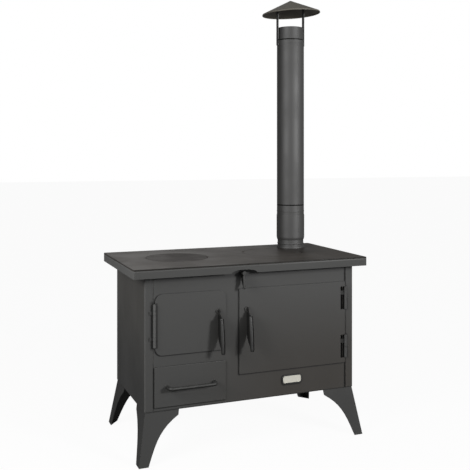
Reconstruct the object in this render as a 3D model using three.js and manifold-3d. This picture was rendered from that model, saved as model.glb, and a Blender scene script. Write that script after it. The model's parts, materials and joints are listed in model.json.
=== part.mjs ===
// Outdoor wood cookstove: a free-standing stove of folded sheet steel on four splayed legs.
// The firebox and its ash drawer are on the left, the oven on the right, and the cooking plate over both
// has two lift-off lids and carries its own flue pipe with a rain cowl.
// Millimetres, +X to the right as seen from the front, +Y to the back, +Z up.

import * as THREE from 'three';
import { mergeVertices } from 'three/addons/utils/BufferGeometryUtils.js';
import Module from 'manifold-3d';

// Clearances
const seatGap = 0.3; // between a piece and what it rests on or is cut by
const runningGap = 1; // between pieces that move past each other
const sideSeam = 4; // open seam between the front panel and the right side panel
const closeSeam = 1; // closed seams of the front and rear panels
const cutOverrun = 6; // how far a cut runs past the faces that it opens

// Body, from the floor up and from left to right
const legHeight = 193;
const ashFrontRise = 15;
const ashFrontHeight = 153;
const hearthRail = 44;
const fireboxDoorHeight = 233;
const topRail = 97;
const frontReturn = 34; // front flange of each side panel
const fireboxDoorInset = 8;
const fireboxDoorWidth = 286;
const centrePost = 57;
const ovenDoorWidth = 477;
const ovenDoorHeight = 338;
const ashFrontInset = 4;
const bodyDepth = 468;
const wallSheet = 3;
const rearReturn = 24;
const sheetBend = 4; // outer radius of the folded corners

// Cooking plate
const plateThickness = 5;
const frontOverhang = 34;
const sideOverhang = 50;
const rearOverhang = 38;
const apronHeight = 36;
const apronSheet = 4;
const plateCorner = 7;
const notchWidth = 110;
const notchHeight = 14;

// Lids and the rings that they rest in
const lidRadius = 128.5;
const lidGap = 1.5;
const lidChamfer = 1;
const lidSkirt = 8;
const lidUnderside = 3;
const lidRib = 12;
const lidLedge = 12;
const ringFlange = 8;
const ringThickness = 4;
const liftNotchRadius = 7;
const leftLidInset = 254; // from the plate's left edge to the lid's centre
const rightLidInset = 310; // from the plate's right edge to the lid's centre
const lidY = 11;
const leftNotchDegrees = -14;
const rightNotchDegrees = 152;

// Legs
const legSheet = 3;
const legInset = 3;
const legSplaySide = 32;
const legSplayFront = 35;
const legTopWidth = 135;
const legTopDepth = 124;
const legFootWidth = 37;
const legFootDepth = 45;
const legFlareHeight = 21;
const legFlange = 92;
const legTaperShare = 0.41; // share of the taper that is straight, the rest is the curve
const legCurvePower = 4;
const legLevels = 9;
const legLevelPower = 0.7; // below 1 sets the levels closer together near the foot's curve

// Doors, drawer front, handles and latches
const doorSheet = 4;
const doorLap = 9;
const fireboxDoorCorner = 27;
const ovenDoorCorner = 3;
const openingCorner = 6;
const rimGap = 4;
const rimDepth = 14;
const rimSheet = 2;
const rimChamfer = 4;
const hingeRadius = 6;
const hingePinRadius = 3.5;
const hingePinEnd = 3;
const hingePinChamfer = 1.2;
const hingeLeafSheet = 3;
const fireboxHingeOffset = 4.5;
const fireboxHingeRise = 33.5;
const fireboxHingeLength = 162.5;
const knuckleHeight = 14;
const knuckleInset = 25;
const knuckleLeaf = 20;
const ovenHingeSetback = 4;
const ovenHingeInset = 21.5;
const ovenHingeLength = 93;
const ovenHingeLeaf = 18;
const ovenHingePin = 36;
const ovenTongueDrop = 16;
const ovenTongueHeight = 17;
const ovenCutWidth = 21;
const ovenReliefRim = 3; // strip of the front panel left beside the relief behind each oven hinge
const handleInset = 32;
const handleBelowTop = 80;
const spindleRadius = 6;
const bossRadius = 10;
const bossLength = 6;
const neckRadius = 5;
const neckDrop = 26;
const gripRadius = 8;
const gripLength = 142;
const gripStandoff = 39;
const gripFlare = 20;
const latchThickness = 8;
const latchHubRadius = 9;
const latchWidth = 12;
const latchGap = 12;

// Ash drawer
const traySheet = 2;
const trayRise = 3;
const trayTopGap = 6;
const traySideGap = 4;
const trayRearGap = 47;
const drawerHandleSpan = 190;
const drawerHandleReach = 37;
const drawerHandleRadius = 5;
const drawerHandleBend = 13;
const runnerSheet = 2;
const runnerFoot = 16;
const runnerFlange = 14;
const runnerInset = 20;

// Firebox lining
const brickThickness = 30;
const brickChamfer = 2;
const dividerSetback = 30;
const dividerHeadroom = 84;
const hearthDrop = 30;
const sideBrickHeadroom = 34;
const grateWidth = 200;
const grateDepth = 300;
const grateThickness = 12;
const grateRim = 16;
const grateLap = 9;
const grateSlot = 11;
const grateSlotCount = 9;
const grateCrossBar = 14;

// Oven
const ovenRearGap = 57;
const ovenSheet = 3;
const railSheet = 2;
const railFlange = 14;
const railWeb = 16;
const railEndGap = 30;
const rackHeightShare = 0.42; // height of the rack in the oven
const rackWireRadius = 3;
const rackFrameRadius = 4;
const rackSideGap = 3;
const rackWireCount = 11;

// Flue pipe and cowl
const flueOffsetX = 27; // from the right lid's hole to the flue axis
const flueOffsetY = 11;
const flueRadius = 62.5;
const flueWall = 1.5;
const spigotRadius = 59.5;
const spigotWall = 2;
const spigotDrop = 30;
const spigotBaseRadius = 63.5;
const spigotBaseHeight = 7;
const spigotBead = 1.5;
const spigotBeadHeight = 17;
const spigotBeadWidth = 6;
const spigotPlug = 30;
const neckHeight = 38;
const pipeCrimp = 14;
const lowerPipeLength = 115;
const lowerPipeStep = 1.5; // how much wider the lower pipe is on the radius
const pipeSocket = 42;
const upperPipeLength = 802;
const beadRise = 13;
const beadHeight = 5;
const beadWidth = 0.9;
const rimBand = 11;
const rimRun = 12; // height over which the long pipe widens to the band at its top
const rimFlare = 1.5;
const cowlCollarRadius = 59.4;
const cowlCollarRise = 60;
const cowlCollarPlug = 40;
const cowlShoulder = 3;
const strapWidth = 20;
const strapSheet = 3;
const strapLap = 22;
const strapTab = 26;
const capRadius = 134;
const capHeight = 58;
const capGap = 68;
const capSheet = 2;
const capLip = 4;
const capTiltDegrees = 3.5; // the cap leans on its straps, higher on the right

// Damper between the firebox and the smoke way over the oven
const damperDrop = 32;
const damperRodRadius = 5;
const damperFlapLength = 64;
const damperFlapSheet = 3;
const damperEndGap = 12;
const damperHubRadius = 8;
const damperHubLength = 16;
const damperHubBore = 12;
const damperReach = 34;
const damperGripRadius = 6;
const damperGripLength = 54;
const damperGripFlare = 6;
const damperNeckDrop = 15;

// Plain plate under the oven door
const namePlateInset = 245; // from the oven door's right edge to the plate's middle
const namePlateRise = 63;
const namePlateWidth = 90;
const namePlateHeight = 38;
const namePlateCorner = 13;
const namePlateRim = 5;
const namePlateSheet = 1.2;

// Facets
const pipeSides = 32;
const lidSides = 48;
const rodSides = 12;
const boreSides = 16;
const neckSides = 10;
const wireSides = 8;
const cornerSteps = 4;
const slotSteps = 2;
const gripEndSteps = 3;
const neckSteps = 6;
const drawerHandleSteps = 52;

// Levels, worked out from the sizes
const bodyBottom = legHeight + seatGap;
const ashFrontBottom = bodyBottom + ashFrontRise;
const ashFrontTop = ashFrontBottom + ashFrontHeight;
const fireboxDoorBottom = ashFrontTop + hearthRail;
const doorTop = fireboxDoorBottom + fireboxDoorHeight;
const ovenDoorBottom = doorTop - ovenDoorHeight;
const bodyTop = doorTop + topRail;
const plateUnderside = bodyTop + seatGap;
const cookingLevel = plateUnderside + plateThickness;
const baseTop = bodyBottom + wallSheet;
const hearthTop = fireboxDoorBottom - hearthDrop;
const dividerTop = bodyTop - dividerHeadroom;
const handleLevel = doorTop - handleBelowTop;
const damperLevel = bodyTop - damperDrop;

// Places from left to right
const doorsWidth = fireboxDoorInset + fireboxDoorWidth + centrePost + ovenDoorWidth;
const bodyWidth = doorsWidth + sideSeam + 2 * frontReturn;
const wallOuter = bodyWidth / 2;
const wallInner = wallOuter - wallSheet;
const returnEdge = wallOuter - frontReturn;
const frontPanelLeft = closeSeam - returnEdge;
const frontPanelRight = returnEdge - sideSeam;
const fireboxDoorLeft = fireboxDoorInset - returnEdge;
const fireboxDoorRight = fireboxDoorLeft + fireboxDoorWidth;
const ashFrontLeft = ashFrontInset - returnEdge;
const ashFrontRight = fireboxDoorRight;
const ovenDoorRight = frontPanelRight;
const ovenDoorLeft = ovenDoorRight - ovenDoorWidth;
const dividerLeft = fireboxDoorRight + dividerSetback;
const dividerRight = dividerLeft + wallSheet;
const fireboxPivotX = fireboxDoorRight - handleInset;
const ovenPivotX = ovenDoorLeft + handleInset;
const damperX = ovenDoorLeft + bossRadius;
const fireboxHingeX = fireboxDoorLeft - fireboxHingeOffset;
const ovenHingeX = returnEdge - ovenHingeSetback;
const lidHoleRadius = lidRadius + lidGap;
const plateSide = wallOuter + sideOverhang;
const leftLidX = leftLidInset - plateSide;
const rightLidX = plateSide - rightLidInset;
const namePlateX = ovenDoorRight - namePlateInset;
const flueX = rightLidX + lidHoleRadius + flueOffsetX;
const flueY = lidY + lidHoleRadius + flueOffsetY;

// Places from front to back
const frontFace = -bodyDepth / 2;
const frontInner = frontFace + wallSheet;
const rearFace = bodyDepth / 2;
const rearInner = rearFace - wallSheet;
const doorBack = frontFace - seatGap;
const doorFace = doorBack - doorSheet;
const rimBack = doorBack + seatGap + rimDepth;
const hingeAxisY = frontFace - runningGap - hingeRadius;

// The openings behind the doors and the drawer front
const fireboxOpening = {
  left: fireboxDoorLeft + doorLap,
  right: fireboxDoorRight - doorLap,
  bottom: fireboxDoorBottom + doorLap,
  top: doorTop - doorLap,
  corner: fireboxDoorCorner - doorLap,
};
const ovenOpening = {
  left: ovenDoorLeft + doorLap,
  right: ovenDoorRight - doorLap,
  bottom: ovenDoorBottom + doorLap,
  top: doorTop - doorLap,
  corner: openingCorner,
};
const ashOpening = {
  left: ashFrontLeft + doorLap,
  right: ashFrontRight - doorLap,
  bottom: ashFrontBottom + doorLap,
  top: ashFrontTop - doorLap,
  corner: openingCorner,
};

// Finishes
const blackSteel = new THREE.MeshStandardMaterial({ color: 0x454545, roughness: 0.55, metalness: 0.35 });
const plateSteel = new THREE.MeshStandardMaterial({ color: 0x57534d, roughness: 0.42, metalness: 0.5 });
const castIron = new THREE.MeshStandardMaterial({ color: 0x3f3d3a, roughness: 0.7, metalness: 0.4 });
const fluePaint = new THREE.MeshStandardMaterial({ color: 0x424242, roughness: 0.4, metalness: 0.5 });
const handleSteel = new THREE.MeshStandardMaterial({ color: 0x4d4d4d, roughness: 0.35, metalness: 0.7 });
const innerSteel = new THREE.MeshStandardMaterial({ color: 0x5a5854, roughness: 0.6, metalness: 0.6 });
const firebrick = new THREE.MeshStandardMaterial({ color: 0xb9a37e, roughness: 0.95, metalness: 0 });
const plainPlate = new THREE.MeshStandardMaterial({ color: 0xd4d0c4, roughness: 0.35, metalness: 0.6 });

// Solids: merging, turning outwards, joining and cutting
const wasm = await Module();
wasm.setup();

function closedMesh(geometry) {
  const bare = geometry.clone();
  bare.deleteAttribute('normal');
  bare.deleteAttribute('uv');
  const merged = mergeVertices(bare);
  const places = merged.getAttribute('position').array;
  const corners = merged.getIndex().array;
  const kept = [];
  let volume = 0;
  const [a, b, c] = [new THREE.Vector3(), new THREE.Vector3(), new THREE.Vector3()];
  for (let i = 0; i < corners.length; i += 3) {
    const [p, q, r] = [corners[i], corners[i + 1], corners[i + 2]];
    if (p === q || q === r || r === p) continue;
    kept.push([p, q, r]);
    volume += a.fromArray(places, 3 * p).dot(b.fromArray(places, 3 * q).cross(c.fromArray(places, 3 * r)));
  }
  const facing = volume < 0 ? kept.map(([p, q, r]) => [p, r, q]) : kept;
  return { vertProperties: new Float32Array(places), triVerts: new Uint32Array(facing.flat()) };
}

function solid(geometry) {
  return new wasm.Manifold(new wasm.Mesh({ numProp: 3, ...closedMesh(geometry) }));
}

function surface({ vertProperties, triVerts }) {
  const geometry = new THREE.BufferGeometry();
  geometry.setAttribute('position', new THREE.BufferAttribute(vertProperties, 3));
  geometry.setIndex(new THREE.BufferAttribute(triVerts, 1));
  geometry.computeVertexNormals();
  return geometry;
}

function fuse(...geometries) {
  return surface(geometries.map(solid).reduce((whole, next) => whole.add(next)).getMesh());
}

function cut(geometry, ...tools) {
  return surface(tools.map(solid).reduce((rest, tool) => rest.subtract(tool), solid(geometry)).getMesh());
}

// Shapes that more than one piece uses
function block(left, right, front, back, bottom, top) {
  const geometry = new THREE.BoxGeometry(right - left, back - front, top - bottom);
  return geometry.translate((left + right) / 2, (front + back) / 2, (bottom + top) / 2);
}

function uprightRod(radius, bottom, top, sides = rodSides) {
  const rod = new THREE.CylinderGeometry(radius, radius, top - bottom, sides).rotateX(Math.PI / 2);
  return rod.translate(0, 0, (bottom + top) / 2);
}

function rodToBack(radius, front, back, sides = rodSides) {
  const rod = new THREE.CylinderGeometry(radius, radius, back - front, sides);
  return rod.translate(0, (front + back) / 2, 0);
}

function turned(profile, sides) {
  const points = profile.map(([radius, height]) => new THREE.Vector2(radius, height));
  return new THREE.LatheGeometry(points, sides).rotateX(Math.PI / 2);
}

function rectangle(path, left, right, bottom, top) {
  path.moveTo(left, bottom);
  path.lineTo(right, bottom);
  path.lineTo(right, top);
  path.lineTo(left, top);
  path.closePath();
  return path;
}

function roundedRectangle(path, left, right, bottom, top, radius) {
  path.moveTo(left + radius, bottom);
  path.lineTo(right - radius, bottom);
  path.absarc(right - radius, bottom + radius, radius, -Math.PI / 2, 0);
  path.lineTo(right, top - radius);
  path.absarc(right - radius, top - radius, radius, 0, Math.PI / 2);
  path.lineTo(left + radius, top);
  path.absarc(left + radius, top - radius, radius, Math.PI / 2, Math.PI);
  path.lineTo(left, bottom + radius);
  path.absarc(left + radius, bottom + radius, radius, Math.PI, 1.5 * Math.PI);
  path.closePath();
  return path;
}

function chamferedRectangle(path, left, right, bottom, top, chamfer) {
  path.moveTo(left + chamfer, bottom);
  path.lineTo(right - chamfer, bottom);
  path.lineTo(right, bottom + chamfer);
  path.lineTo(right, top - chamfer);
  path.lineTo(right - chamfer, top);
  path.lineTo(left + chamfer, top);
  path.lineTo(left, top - chamfer);
  path.lineTo(left, bottom + chamfer);
  path.closePath();
  return path;
}

function openingPath({ left, right, bottom, top, corner }) {
  return roundedRectangle(new THREE.Path(), left, right, bottom, top, corner);
}

function extruded(shape, depth) {
  return new THREE.ExtrudeGeometry(shape, { depth, bevelEnabled: false, curveSegments: cornerSteps });
}

// An upright sheet with its back face at y = 0 and its outline drawn in X and Z
function uprightSheet(shape, thickness) {
  return extruded(shape, thickness).rotateX(Math.PI / 2);
}

// A folded strip with its outline drawn in X and Z, running back from y = 0
function stripToBack(shape, length) {
  return extruded(shape, length).rotateX(Math.PI / 2).translate(0, length, 0);
}

function sweptRod(radius, path, steps, sides) {
  const section = new THREE.Shape().absarc(0, 0, radius, 0, 2 * Math.PI);
  return new THREE.ExtrudeGeometry(section, { steps, extrudePath: path, curveSegments: sides / 2 });
}

// A skin over rings of equally many points, with a flat cap on the first and the last ring
function loft(rings) {
  const count = rings[0].length;
  const triangles = [];
  const flat = (ring) => ring.map((p) => new THREE.Vector2(p.x, p.y));
  const capOf = (ring) => THREE.ShapeUtils.triangulateShape(flat(ring), []);
  for (const [p, q, r] of capOf(rings[0])) triangles.push(p, r, q);
  for (let level = 0; level + 1 < rings.length; level += 1) {
    for (let i = 0; i < count; i += 1) {
      const next = (i + 1) % count;
      const [a, b] = [level * count + i, level * count + next];
      const [c, d] = [a + count, b + count];
      triangles.push(a, b, d, a, d, c);
    }
  }
  const last = (rings.length - 1) * count;
  for (const [p, q, r] of capOf(rings.at(-1))) triangles.push(last + p, last + q, last + r);
  const geometry = new THREE.BufferGeometry().setFromPoints(rings.flat());
  geometry.setIndex(triangles);
  return geometry;
}

function piece(group, name, geometry, finish, x = 0, y = 0, z = 0) {
  const mesh = new THREE.Mesh(surface(closedMesh(geometry)), finish);
  mesh.name = name;
  mesh.position.set(x, y, z);
  group.add(mesh);
  return mesh;
}

function groupAt(parent, x, y, z) {
  const group = new THREE.Group();
  group.position.set(x, y, z);
  parent.add(group);
  return group;
}

// Body panels

function damperHole() {
  const radius = damperRodRadius + runningGap;
  return new THREE.Path().absarc(damperX, damperLevel, radius, 0, 2 * Math.PI);
}

function frontPanel() {
  const sheet = rectangle(new THREE.Shape(), frontPanelLeft, frontPanelRight, bodyBottom, bodyTop);
  sheet.holes = [fireboxOpening, ovenOpening, ashOpening].map(openingPath);
  sheet.holes.push(damperHole());
  const reliefs = ovenHingeBottoms().map((bottom) => block(
    ovenOpening.right - cutOverrun, frontPanelRight - ovenReliefRim, -wallSheet - cutOverrun, cutOverrun,
    bottom - runningGap, bottom + ovenHingeLength + runningGap,
  ));
  return cut(uprightSheet(sheet, wallSheet), ...reliefs);
}

function sidePanel() {
  const outline = new THREE.Shape();
  outline.moveTo(-frontReturn, 0);
  outline.lineTo(-sheetBend, 0);
  outline.absarc(-sheetBend, sheetBend, sheetBend, -Math.PI / 2, 0);
  outline.lineTo(0, bodyDepth - sheetBend);
  outline.absarc(-sheetBend, bodyDepth - sheetBend, sheetBend, 0, Math.PI / 2);
  outline.lineTo(-rearReturn, bodyDepth);
  outline.lineTo(-rearReturn, bodyDepth - wallSheet);
  outline.lineTo(-wallSheet, bodyDepth - wallSheet);
  outline.lineTo(-wallSheet, wallSheet);
  outline.lineTo(-frontReturn, wallSheet);
  outline.closePath();
  return extruded(outline, bodyTop - bodyBottom);
}

function rearPanel() {
  const halfWidth = wallOuter - rearReturn - closeSeam;
  const sheet = rectangle(new THREE.Shape(), -halfWidth, halfWidth, bodyBottom, bodyTop);
  sheet.holes.push(damperHole());
  return uprightSheet(sheet, wallSheet);
}

function buildBody(stove) {
  const side = sidePanel();
  const leftSide = side.clone().scale(-1, 1, 1);
  piece(stove, 'front_panel', frontPanel(), blackSteel, 0, frontInner, 0);
  piece(stove, 'right_side_panel', side, blackSteel, wallOuter, frontFace, bodyBottom);
  piece(stove, 'left_side_panel', leftSide, blackSteel, -wallOuter, frontFace, bodyBottom);
  piece(stove, 'rear_panel', rearPanel(), blackSteel, 0, rearFace, 0);
  const halfWidth = wallInner - seatGap;
  const halfDepth = rearInner - seatGap;
  const base = block(-halfWidth, halfWidth, -halfDepth, halfDepth, 0, wallSheet);
  piece(stove, 'base_panel', base, blackSteel, 0, 0, bodyBottom);
}

// Legs: an angle of sheet whose two faces taper in a curve to the foot, splayed out both ways

function legGeometry() {
  const curveTop = legHeight - legFlareHeight;
  const widthAt = (top, foot, height) => {
    const rise = Math.min(height / curveTop, 1);
    const share = legTaperShare * rise + (1 - legTaperShare) * rise ** legCurvePower;
    return foot + (top - foot) * share;
  };
  const heights = Array.from({ length: legLevels }, (_, i) => (
    curveTop * (i / (legLevels - 1)) ** legLevelPower
  ));
  const rings = [...heights, legHeight].map((height) => {
    const splay = 1 - height / legHeight;
    const [x, y] = [legSplaySide * splay, -legSplayFront * splay];
    const width = widthAt(legTopWidth, legFootWidth, height);
    const depth = widthAt(legTopDepth, legFootDepth, height);
    return [
      [x, y], [x, y + depth], [x - legSheet, y + depth],
      [x - legSheet, y + legSheet], [x - width, y + legSheet], [x - width, y],
    ].map(([u, v]) => new THREE.Vector3(u, v, height));
  });
  const sole = legPad(legFootWidth, legFootDepth, legSplaySide, -legSplayFront);
  const flange = legPad(legFlange, legFlange, 0, 0).translate(0, 0, legHeight - legSheet);
  return fuse(loft(rings), sole, flange);
}

// A flat pad in the corner of the angle, cut off along its open side
function legPad(width, depth, x, y) {
  const inset = legSheet / 2;
  const pad = new THREE.Shape();
  pad.moveTo(x - inset, y + inset);
  pad.lineTo(x - inset, y + depth - inset);
  pad.lineTo(x - 2 * inset, y + depth - inset);
  pad.lineTo(x - width + inset, y + 2 * inset);
  pad.lineTo(x - width + inset, y + inset);
  pad.closePath();
  return extruded(pad, legSheet);
}

function buildLegs(stove) {
  const leg = legGeometry();
  for (const [across, sideName] of [[1, 'right'], [-1, 'left']]) {
    for (const [back, endName] of [[1, 'front'], [-1, 'rear']]) {
      const turnedLeg = leg.clone().scale(across, back, 1);
      const [x, y] = [across * (wallOuter - legInset), back * (frontFace + legInset)];
      piece(stove, `leg_${endName}_${sideName}`, turnedLeg, blackSteel, x, y, 0);
    }
  }
}

// Cooking plate, lid rings and lids

function lidHole(x, degrees, radius, notchRadius) {
  const angle = THREE.MathUtils.degToRad(degrees);
  const [bottom, top] = [-plateThickness - cutOverrun, cutOverrun];
  const notchX = x + lidHoleRadius * Math.cos(angle);
  const notchY = lidY + lidHoleRadius * Math.sin(angle);
  return [
    uprightRod(radius, bottom, top, lidSides).translate(x, lidY, 0),
    uprightRod(notchRadius, bottom, top).translate(notchX, notchY, 0),
  ];
}

function cookingPlate() {
  const [front, back] = [frontFace - frontOverhang, rearFace + rearOverhang];
  const inner = plateSide - apronSheet;
  const tray = extruded(roundedRectangle(
    new THREE.Shape(), -plateSide, plateSide, front, back, plateCorner,
  ), apronHeight);
  const pocketCorner = plateCorner - apronSheet;
  const pocket = extruded(roundedRectangle(
    new THREE.Shape(), -inner, inner, front + apronSheet, back - apronSheet, pocketCorner,
  ), apronHeight - plateThickness + cutOverrun);
  const arch = new THREE.Shape().absellipse(damperX, 0, notchWidth / 2, notchHeight, 0, Math.PI);
  const notch = extruded(arch, apronSheet + 2 * cutOverrun).rotateX(Math.PI / 2);
  return cut(
    tray.translate(0, 0, -apronHeight),
    pocket.translate(0, 0, -apronHeight - cutOverrun),
    notch.translate(0, front + apronSheet + cutOverrun, -apronHeight),
    ...lidHole(leftLidX, leftNotchDegrees, lidHoleRadius, liftNotchRadius),
    ...lidHole(rightLidX, rightNotchDegrees, lidHoleRadius, liftNotchRadius),
    uprightRod(spigotRadius + seatGap, -plateThickness - cutOverrun, cutOverrun, pipeSides)
      .translate(flueX, flueY, 0),
  );
}

function lidRing() {
  const inner = lidHoleRadius - lidLedge;
  const outer = lidHoleRadius + ringFlange;
  const profile = [[inner, 0], [outer, 0], [outer, ringThickness], [inner, ringThickness], [inner, 0]];
  return turned(profile, lidSides);
}

function lidDisc(degrees) {
  const skirt = lidHoleRadius - lidLedge - lidGap;
  const disc = turned([
    [0, lidUnderside - lidSkirt],
    [skirt - lidRib, lidUnderside - lidSkirt],
    [skirt - lidRib, -lidSkirt],
    [skirt, -lidSkirt],
    [skirt, 0],
    [lidRadius, 0],
    [lidRadius, plateThickness - lidChamfer],
    [lidRadius - lidChamfer, plateThickness],
    [0, plateThickness],
  ], lidSides);
  const angle = THREE.MathUtils.degToRad(degrees);
  const notch = uprightRod(liftNotchRadius, 0, plateThickness + cutOverrun);
  return cut(disc, notch.translate(lidHoleRadius * Math.cos(angle), lidHoleRadius * Math.sin(angle), 0));
}

function buildTop(stove) {
  piece(stove, 'cooktop', cookingPlate(), plateSteel, 0, 0, cookingLevel);
  const ringLevel = plateUnderside - seatGap - ringThickness;
  piece(stove, 'lid_ring_left', lidRing(), castIron, leftLidX, lidY, ringLevel);
  piece(stove, 'lid_ring_right', lidRing(), castIron, rightLidX, lidY, ringLevel);
  piece(stove, 'lid_left', lidDisc(leftNotchDegrees), castIron, leftLidX, lidY, plateUnderside);
  piece(stove, 'lid_right', lidDisc(rightNotchDegrees), castIron, rightLidX, lidY, plateUnderside);
}

// Flue: spigot on the plate, two pipes that plug into each other, and the cowl

function flueSpigot() {
  const bore = spigotRadius - spigotWall;
  const beadTop = spigotBeadHeight + spigotBeadWidth;
  const top = neckHeight + spigotPlug;
  return turned([
    [bore, -plateThickness - spigotDrop],
    [spigotRadius, -plateThickness - spigotDrop],
    [spigotRadius, seatGap],
    [spigotBaseRadius, seatGap],
    [spigotBaseRadius, spigotBaseHeight],
    [spigotRadius, spigotBaseHeight],
    [spigotRadius, spigotBeadHeight],
    [spigotRadius + spigotBead, (spigotBeadHeight + beadTop) / 2],
    [spigotRadius, beadTop],
    [spigotRadius, top],
    [bore, top],
    [bore, -plateThickness - spigotDrop],
  ], pipeSides);
}

// The lower end is crimped on to the spigot and the upper end is swaged to plug into the next pipe
function lowerPipe() {
  const radius = flueRadius + lowerPipeStep;
  const bore = radius - flueWall;
  const plug = flueRadius - flueWall - seatGap;
  const mouth = spigotRadius + seatGap;
  return turned([
    [mouth, 0],
    [mouth + flueWall, 0],
    [radius, pipeCrimp],
    [radius, lowerPipeLength],
    [plug, lowerPipeLength],
    [plug, lowerPipeLength + pipeSocket],
    [plug - flueWall, lowerPipeLength + pipeSocket],
    [plug - flueWall, lowerPipeLength - flueWall],
    [bore, lowerPipeLength - 2 * flueWall],
    [bore, pipeCrimp],
    [mouth, 0],
  ], pipeSides);
}

function upperPipe() {
  const bore = flueRadius - flueWall;
  return turned([
    [bore, 0],
    [flueRadius, 0],
    [flueRadius, beadRise],
    [flueRadius + beadWidth, beadRise + beadHeight / 2],
    [flueRadius, beadRise + beadHeight],
    [flueRadius, upperPipeLength - rimBand - rimRun],
    [flueRadius + rimFlare, upperPipeLength - rimBand],
    [flueRadius + rimFlare, upperPipeLength],
    [bore, upperPipeLength],
    [bore, 0],
  ], pipeSides);
}

function cowlCollar() {
  const plug = flueRadius - flueWall - seatGap;
  return turned([
    [plug - flueWall, -cowlCollarPlug],
    [plug, -cowlCollarPlug],
    [plug, 0],
    [cowlCollarRadius, cowlShoulder],
    [cowlCollarRadius, cowlCollarRise],
    [cowlCollarRadius - flueWall, cowlCollarRise],
    [cowlCollarRadius - flueWall, cowlShoulder],
    [plug - flueWall, 0],
    [plug - flueWall, -cowlCollarPlug],
  ], pipeSides);
}

// A cone of sheet with a short turned-down edge, the tip of its underside at the local origin
function cowlCap() {
  const inner = capRadius - capSheet;
  const slope = capHeight / capRadius;
  return turned([
    [0, 0],
    [inner, -slope * inner],
    [inner, -capHeight - capLip],
    [capRadius, -capHeight - capLip],
    [capRadius, capSheet - capHeight],
    [0, capSheet],
  ], lidSides);
}

// A strap stands against the pipe and turns in under the cap, following its slope on that side
function cowlStrap(apexLevel, slopeAngle) {
  const inner = flueRadius + rimFlare + seatGap;
  const outer = inner + strapSheet;
  const underCap = (x) => apexLevel - seatGap - Math.hypot(x, strapWidth / 2) * Math.tan(slopeAngle);
  const tabInner = inner - strapTab * Math.cos(slopeAngle);
  const tabThickness = strapSheet / Math.cos(slopeAngle);
  const outline = new THREE.Shape();
  outline.moveTo(inner, -strapLap);
  outline.lineTo(outer, -strapLap);
  outline.lineTo(outer, underCap(outer));
  outline.lineTo(tabInner, underCap(tabInner));
  outline.lineTo(tabInner, underCap(tabInner) - tabThickness);
  outline.lineTo(inner, underCap(inner) - tabThickness);
  outline.closePath();
  return uprightSheet(outline, strapWidth).translate(0, strapWidth / 2, 0);
}

function buildFlue(stove) {
  const flue = groupAt(stove, flueX, flueY, cookingLevel);
  const jointLevel = neckHeight + lowerPipeLength + seatGap;
  const pipeTop = jointLevel + upperPipeLength;
  piece(flue, 'flue_spigot', flueSpigot(), fluePaint);
  piece(flue, 'flue_pipe_lower', lowerPipe(), fluePaint, 0, 0, neckHeight);
  piece(flue, 'flue_pipe_upper', upperPipe(), fluePaint, 0, 0, jointLevel);
  const cowl = groupAt(flue, 0, 0, pipeTop);
  const capApex = cowlCollarRise + capGap + capHeight;
  const slope = Math.atan(capHeight / capRadius);
  const tilt = THREE.MathUtils.degToRad(capTiltDegrees);
  piece(cowl, 'cowl_collar', cowlCollar(), fluePaint);
  piece(cowl, 'cowl_strap_right', cowlStrap(capApex, slope - tilt), fluePaint);
  piece(cowl, 'cowl_strap_left', cowlStrap(capApex, slope + tilt).scale(-1, 1, 1), fluePaint);
  piece(cowl, 'cowl_cap', cowlCap(), fluePaint, 0, 0, capApex).rotation.y = -tilt;
}

// Doors, their hinges, handles and latches

// A frame of flat bar that stiffens the door from behind and stands inside its opening
function doorRim(opening, hingeX) {
  const [left, right] = [opening.left + rimGap - hingeX, opening.right - rimGap - hingeX];
  const [bottom, top] = [opening.bottom + rimGap, opening.top - rimGap];
  const frame = chamferedRectangle(new THREE.Shape(), left, right, bottom, top, rimChamfer);
  const innerChamfer = rimChamfer - (2 - Math.SQRT2) * rimSheet;
  frame.holes.push(chamferedRectangle(
    new THREE.Path(), left + rimSheet, right - rimSheet, bottom + rimSheet, top - rimSheet, innerChamfer,
  ));
  return uprightSheet(frame, rimDepth).translate(0, rimDepth, 0);
}

function spindleHole(pivotX, hingeX) {
  const bore = rodToBack(spindleRadius + runningGap, -doorSheet - cutOverrun, cutOverrun, boreSides);
  return bore.translate(pivotX - hingeX, 0, handleLevel);
}

function handleBoss() {
  const ring = rodToBack(bossRadius, -bossLength, 0, boreSides);
  return cut(ring, rodToBack(spindleRadius + runningGap, -bossLength - cutOverrun, cutOverrun, boreSides));
}

// A straight grip that leans away from the door on its way down
function grip(top, radius, length, flare) {
  const down = new THREE.Vector3(0, -flare, -length).normalize();
  const rod = new THREE.CapsuleGeometry(radius, length - 2 * radius, gripEndSteps, rodSides);
  rod.applyQuaternion(new THREE.Quaternion().setFromUnitVectors(new THREE.Vector3(0, -1, 0), down));
  const middle = top.clone().addScaledVector(down, length / 2 - radius);
  return rod.translate(middle.x, middle.y, middle.z);
}

// A spindle with a bent neck and a grip, its local origin on the axis at the door's outer face
function doorHandle() {
  const inside = doorSheet + rimDepth + seatGap + latchThickness;
  const spindle = rodToBack(spindleRadius, -bossLength - spindleRadius, inside);
  const top = new THREE.Vector3(0, -gripStandoff, -neckDrop);
  const bend = new THREE.Vector3(0, -gripStandoff, 0);
  const path = new THREE.QuadraticBezierCurve3(new THREE.Vector3(), bend, top);
  const neck = sweptRod(neckRadius, path, neckSteps, neckSides);
  return fuse(spindle, neck, grip(top, gripRadius, gripLength, gripFlare));
}

// A hub on the spindle's inner end with a tongue that reaches towards the door frame
function latch(reach, side) {
  const hub = rodToBack(latchHubRadius, 0, latchThickness, boreSides);
  const [near, far] = side > 0 ? [0, reach] : [-reach, 0];
  const tongue = block(near, far, 0, latchThickness, -latchWidth / 2, latchWidth / 2);
  const bore = rodToBack(spindleRadius + seatGap, -cutOverrun, latchThickness + cutOverrun, boreSides);
  return cut(fuse(hub, tongue), bore);
}

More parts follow.
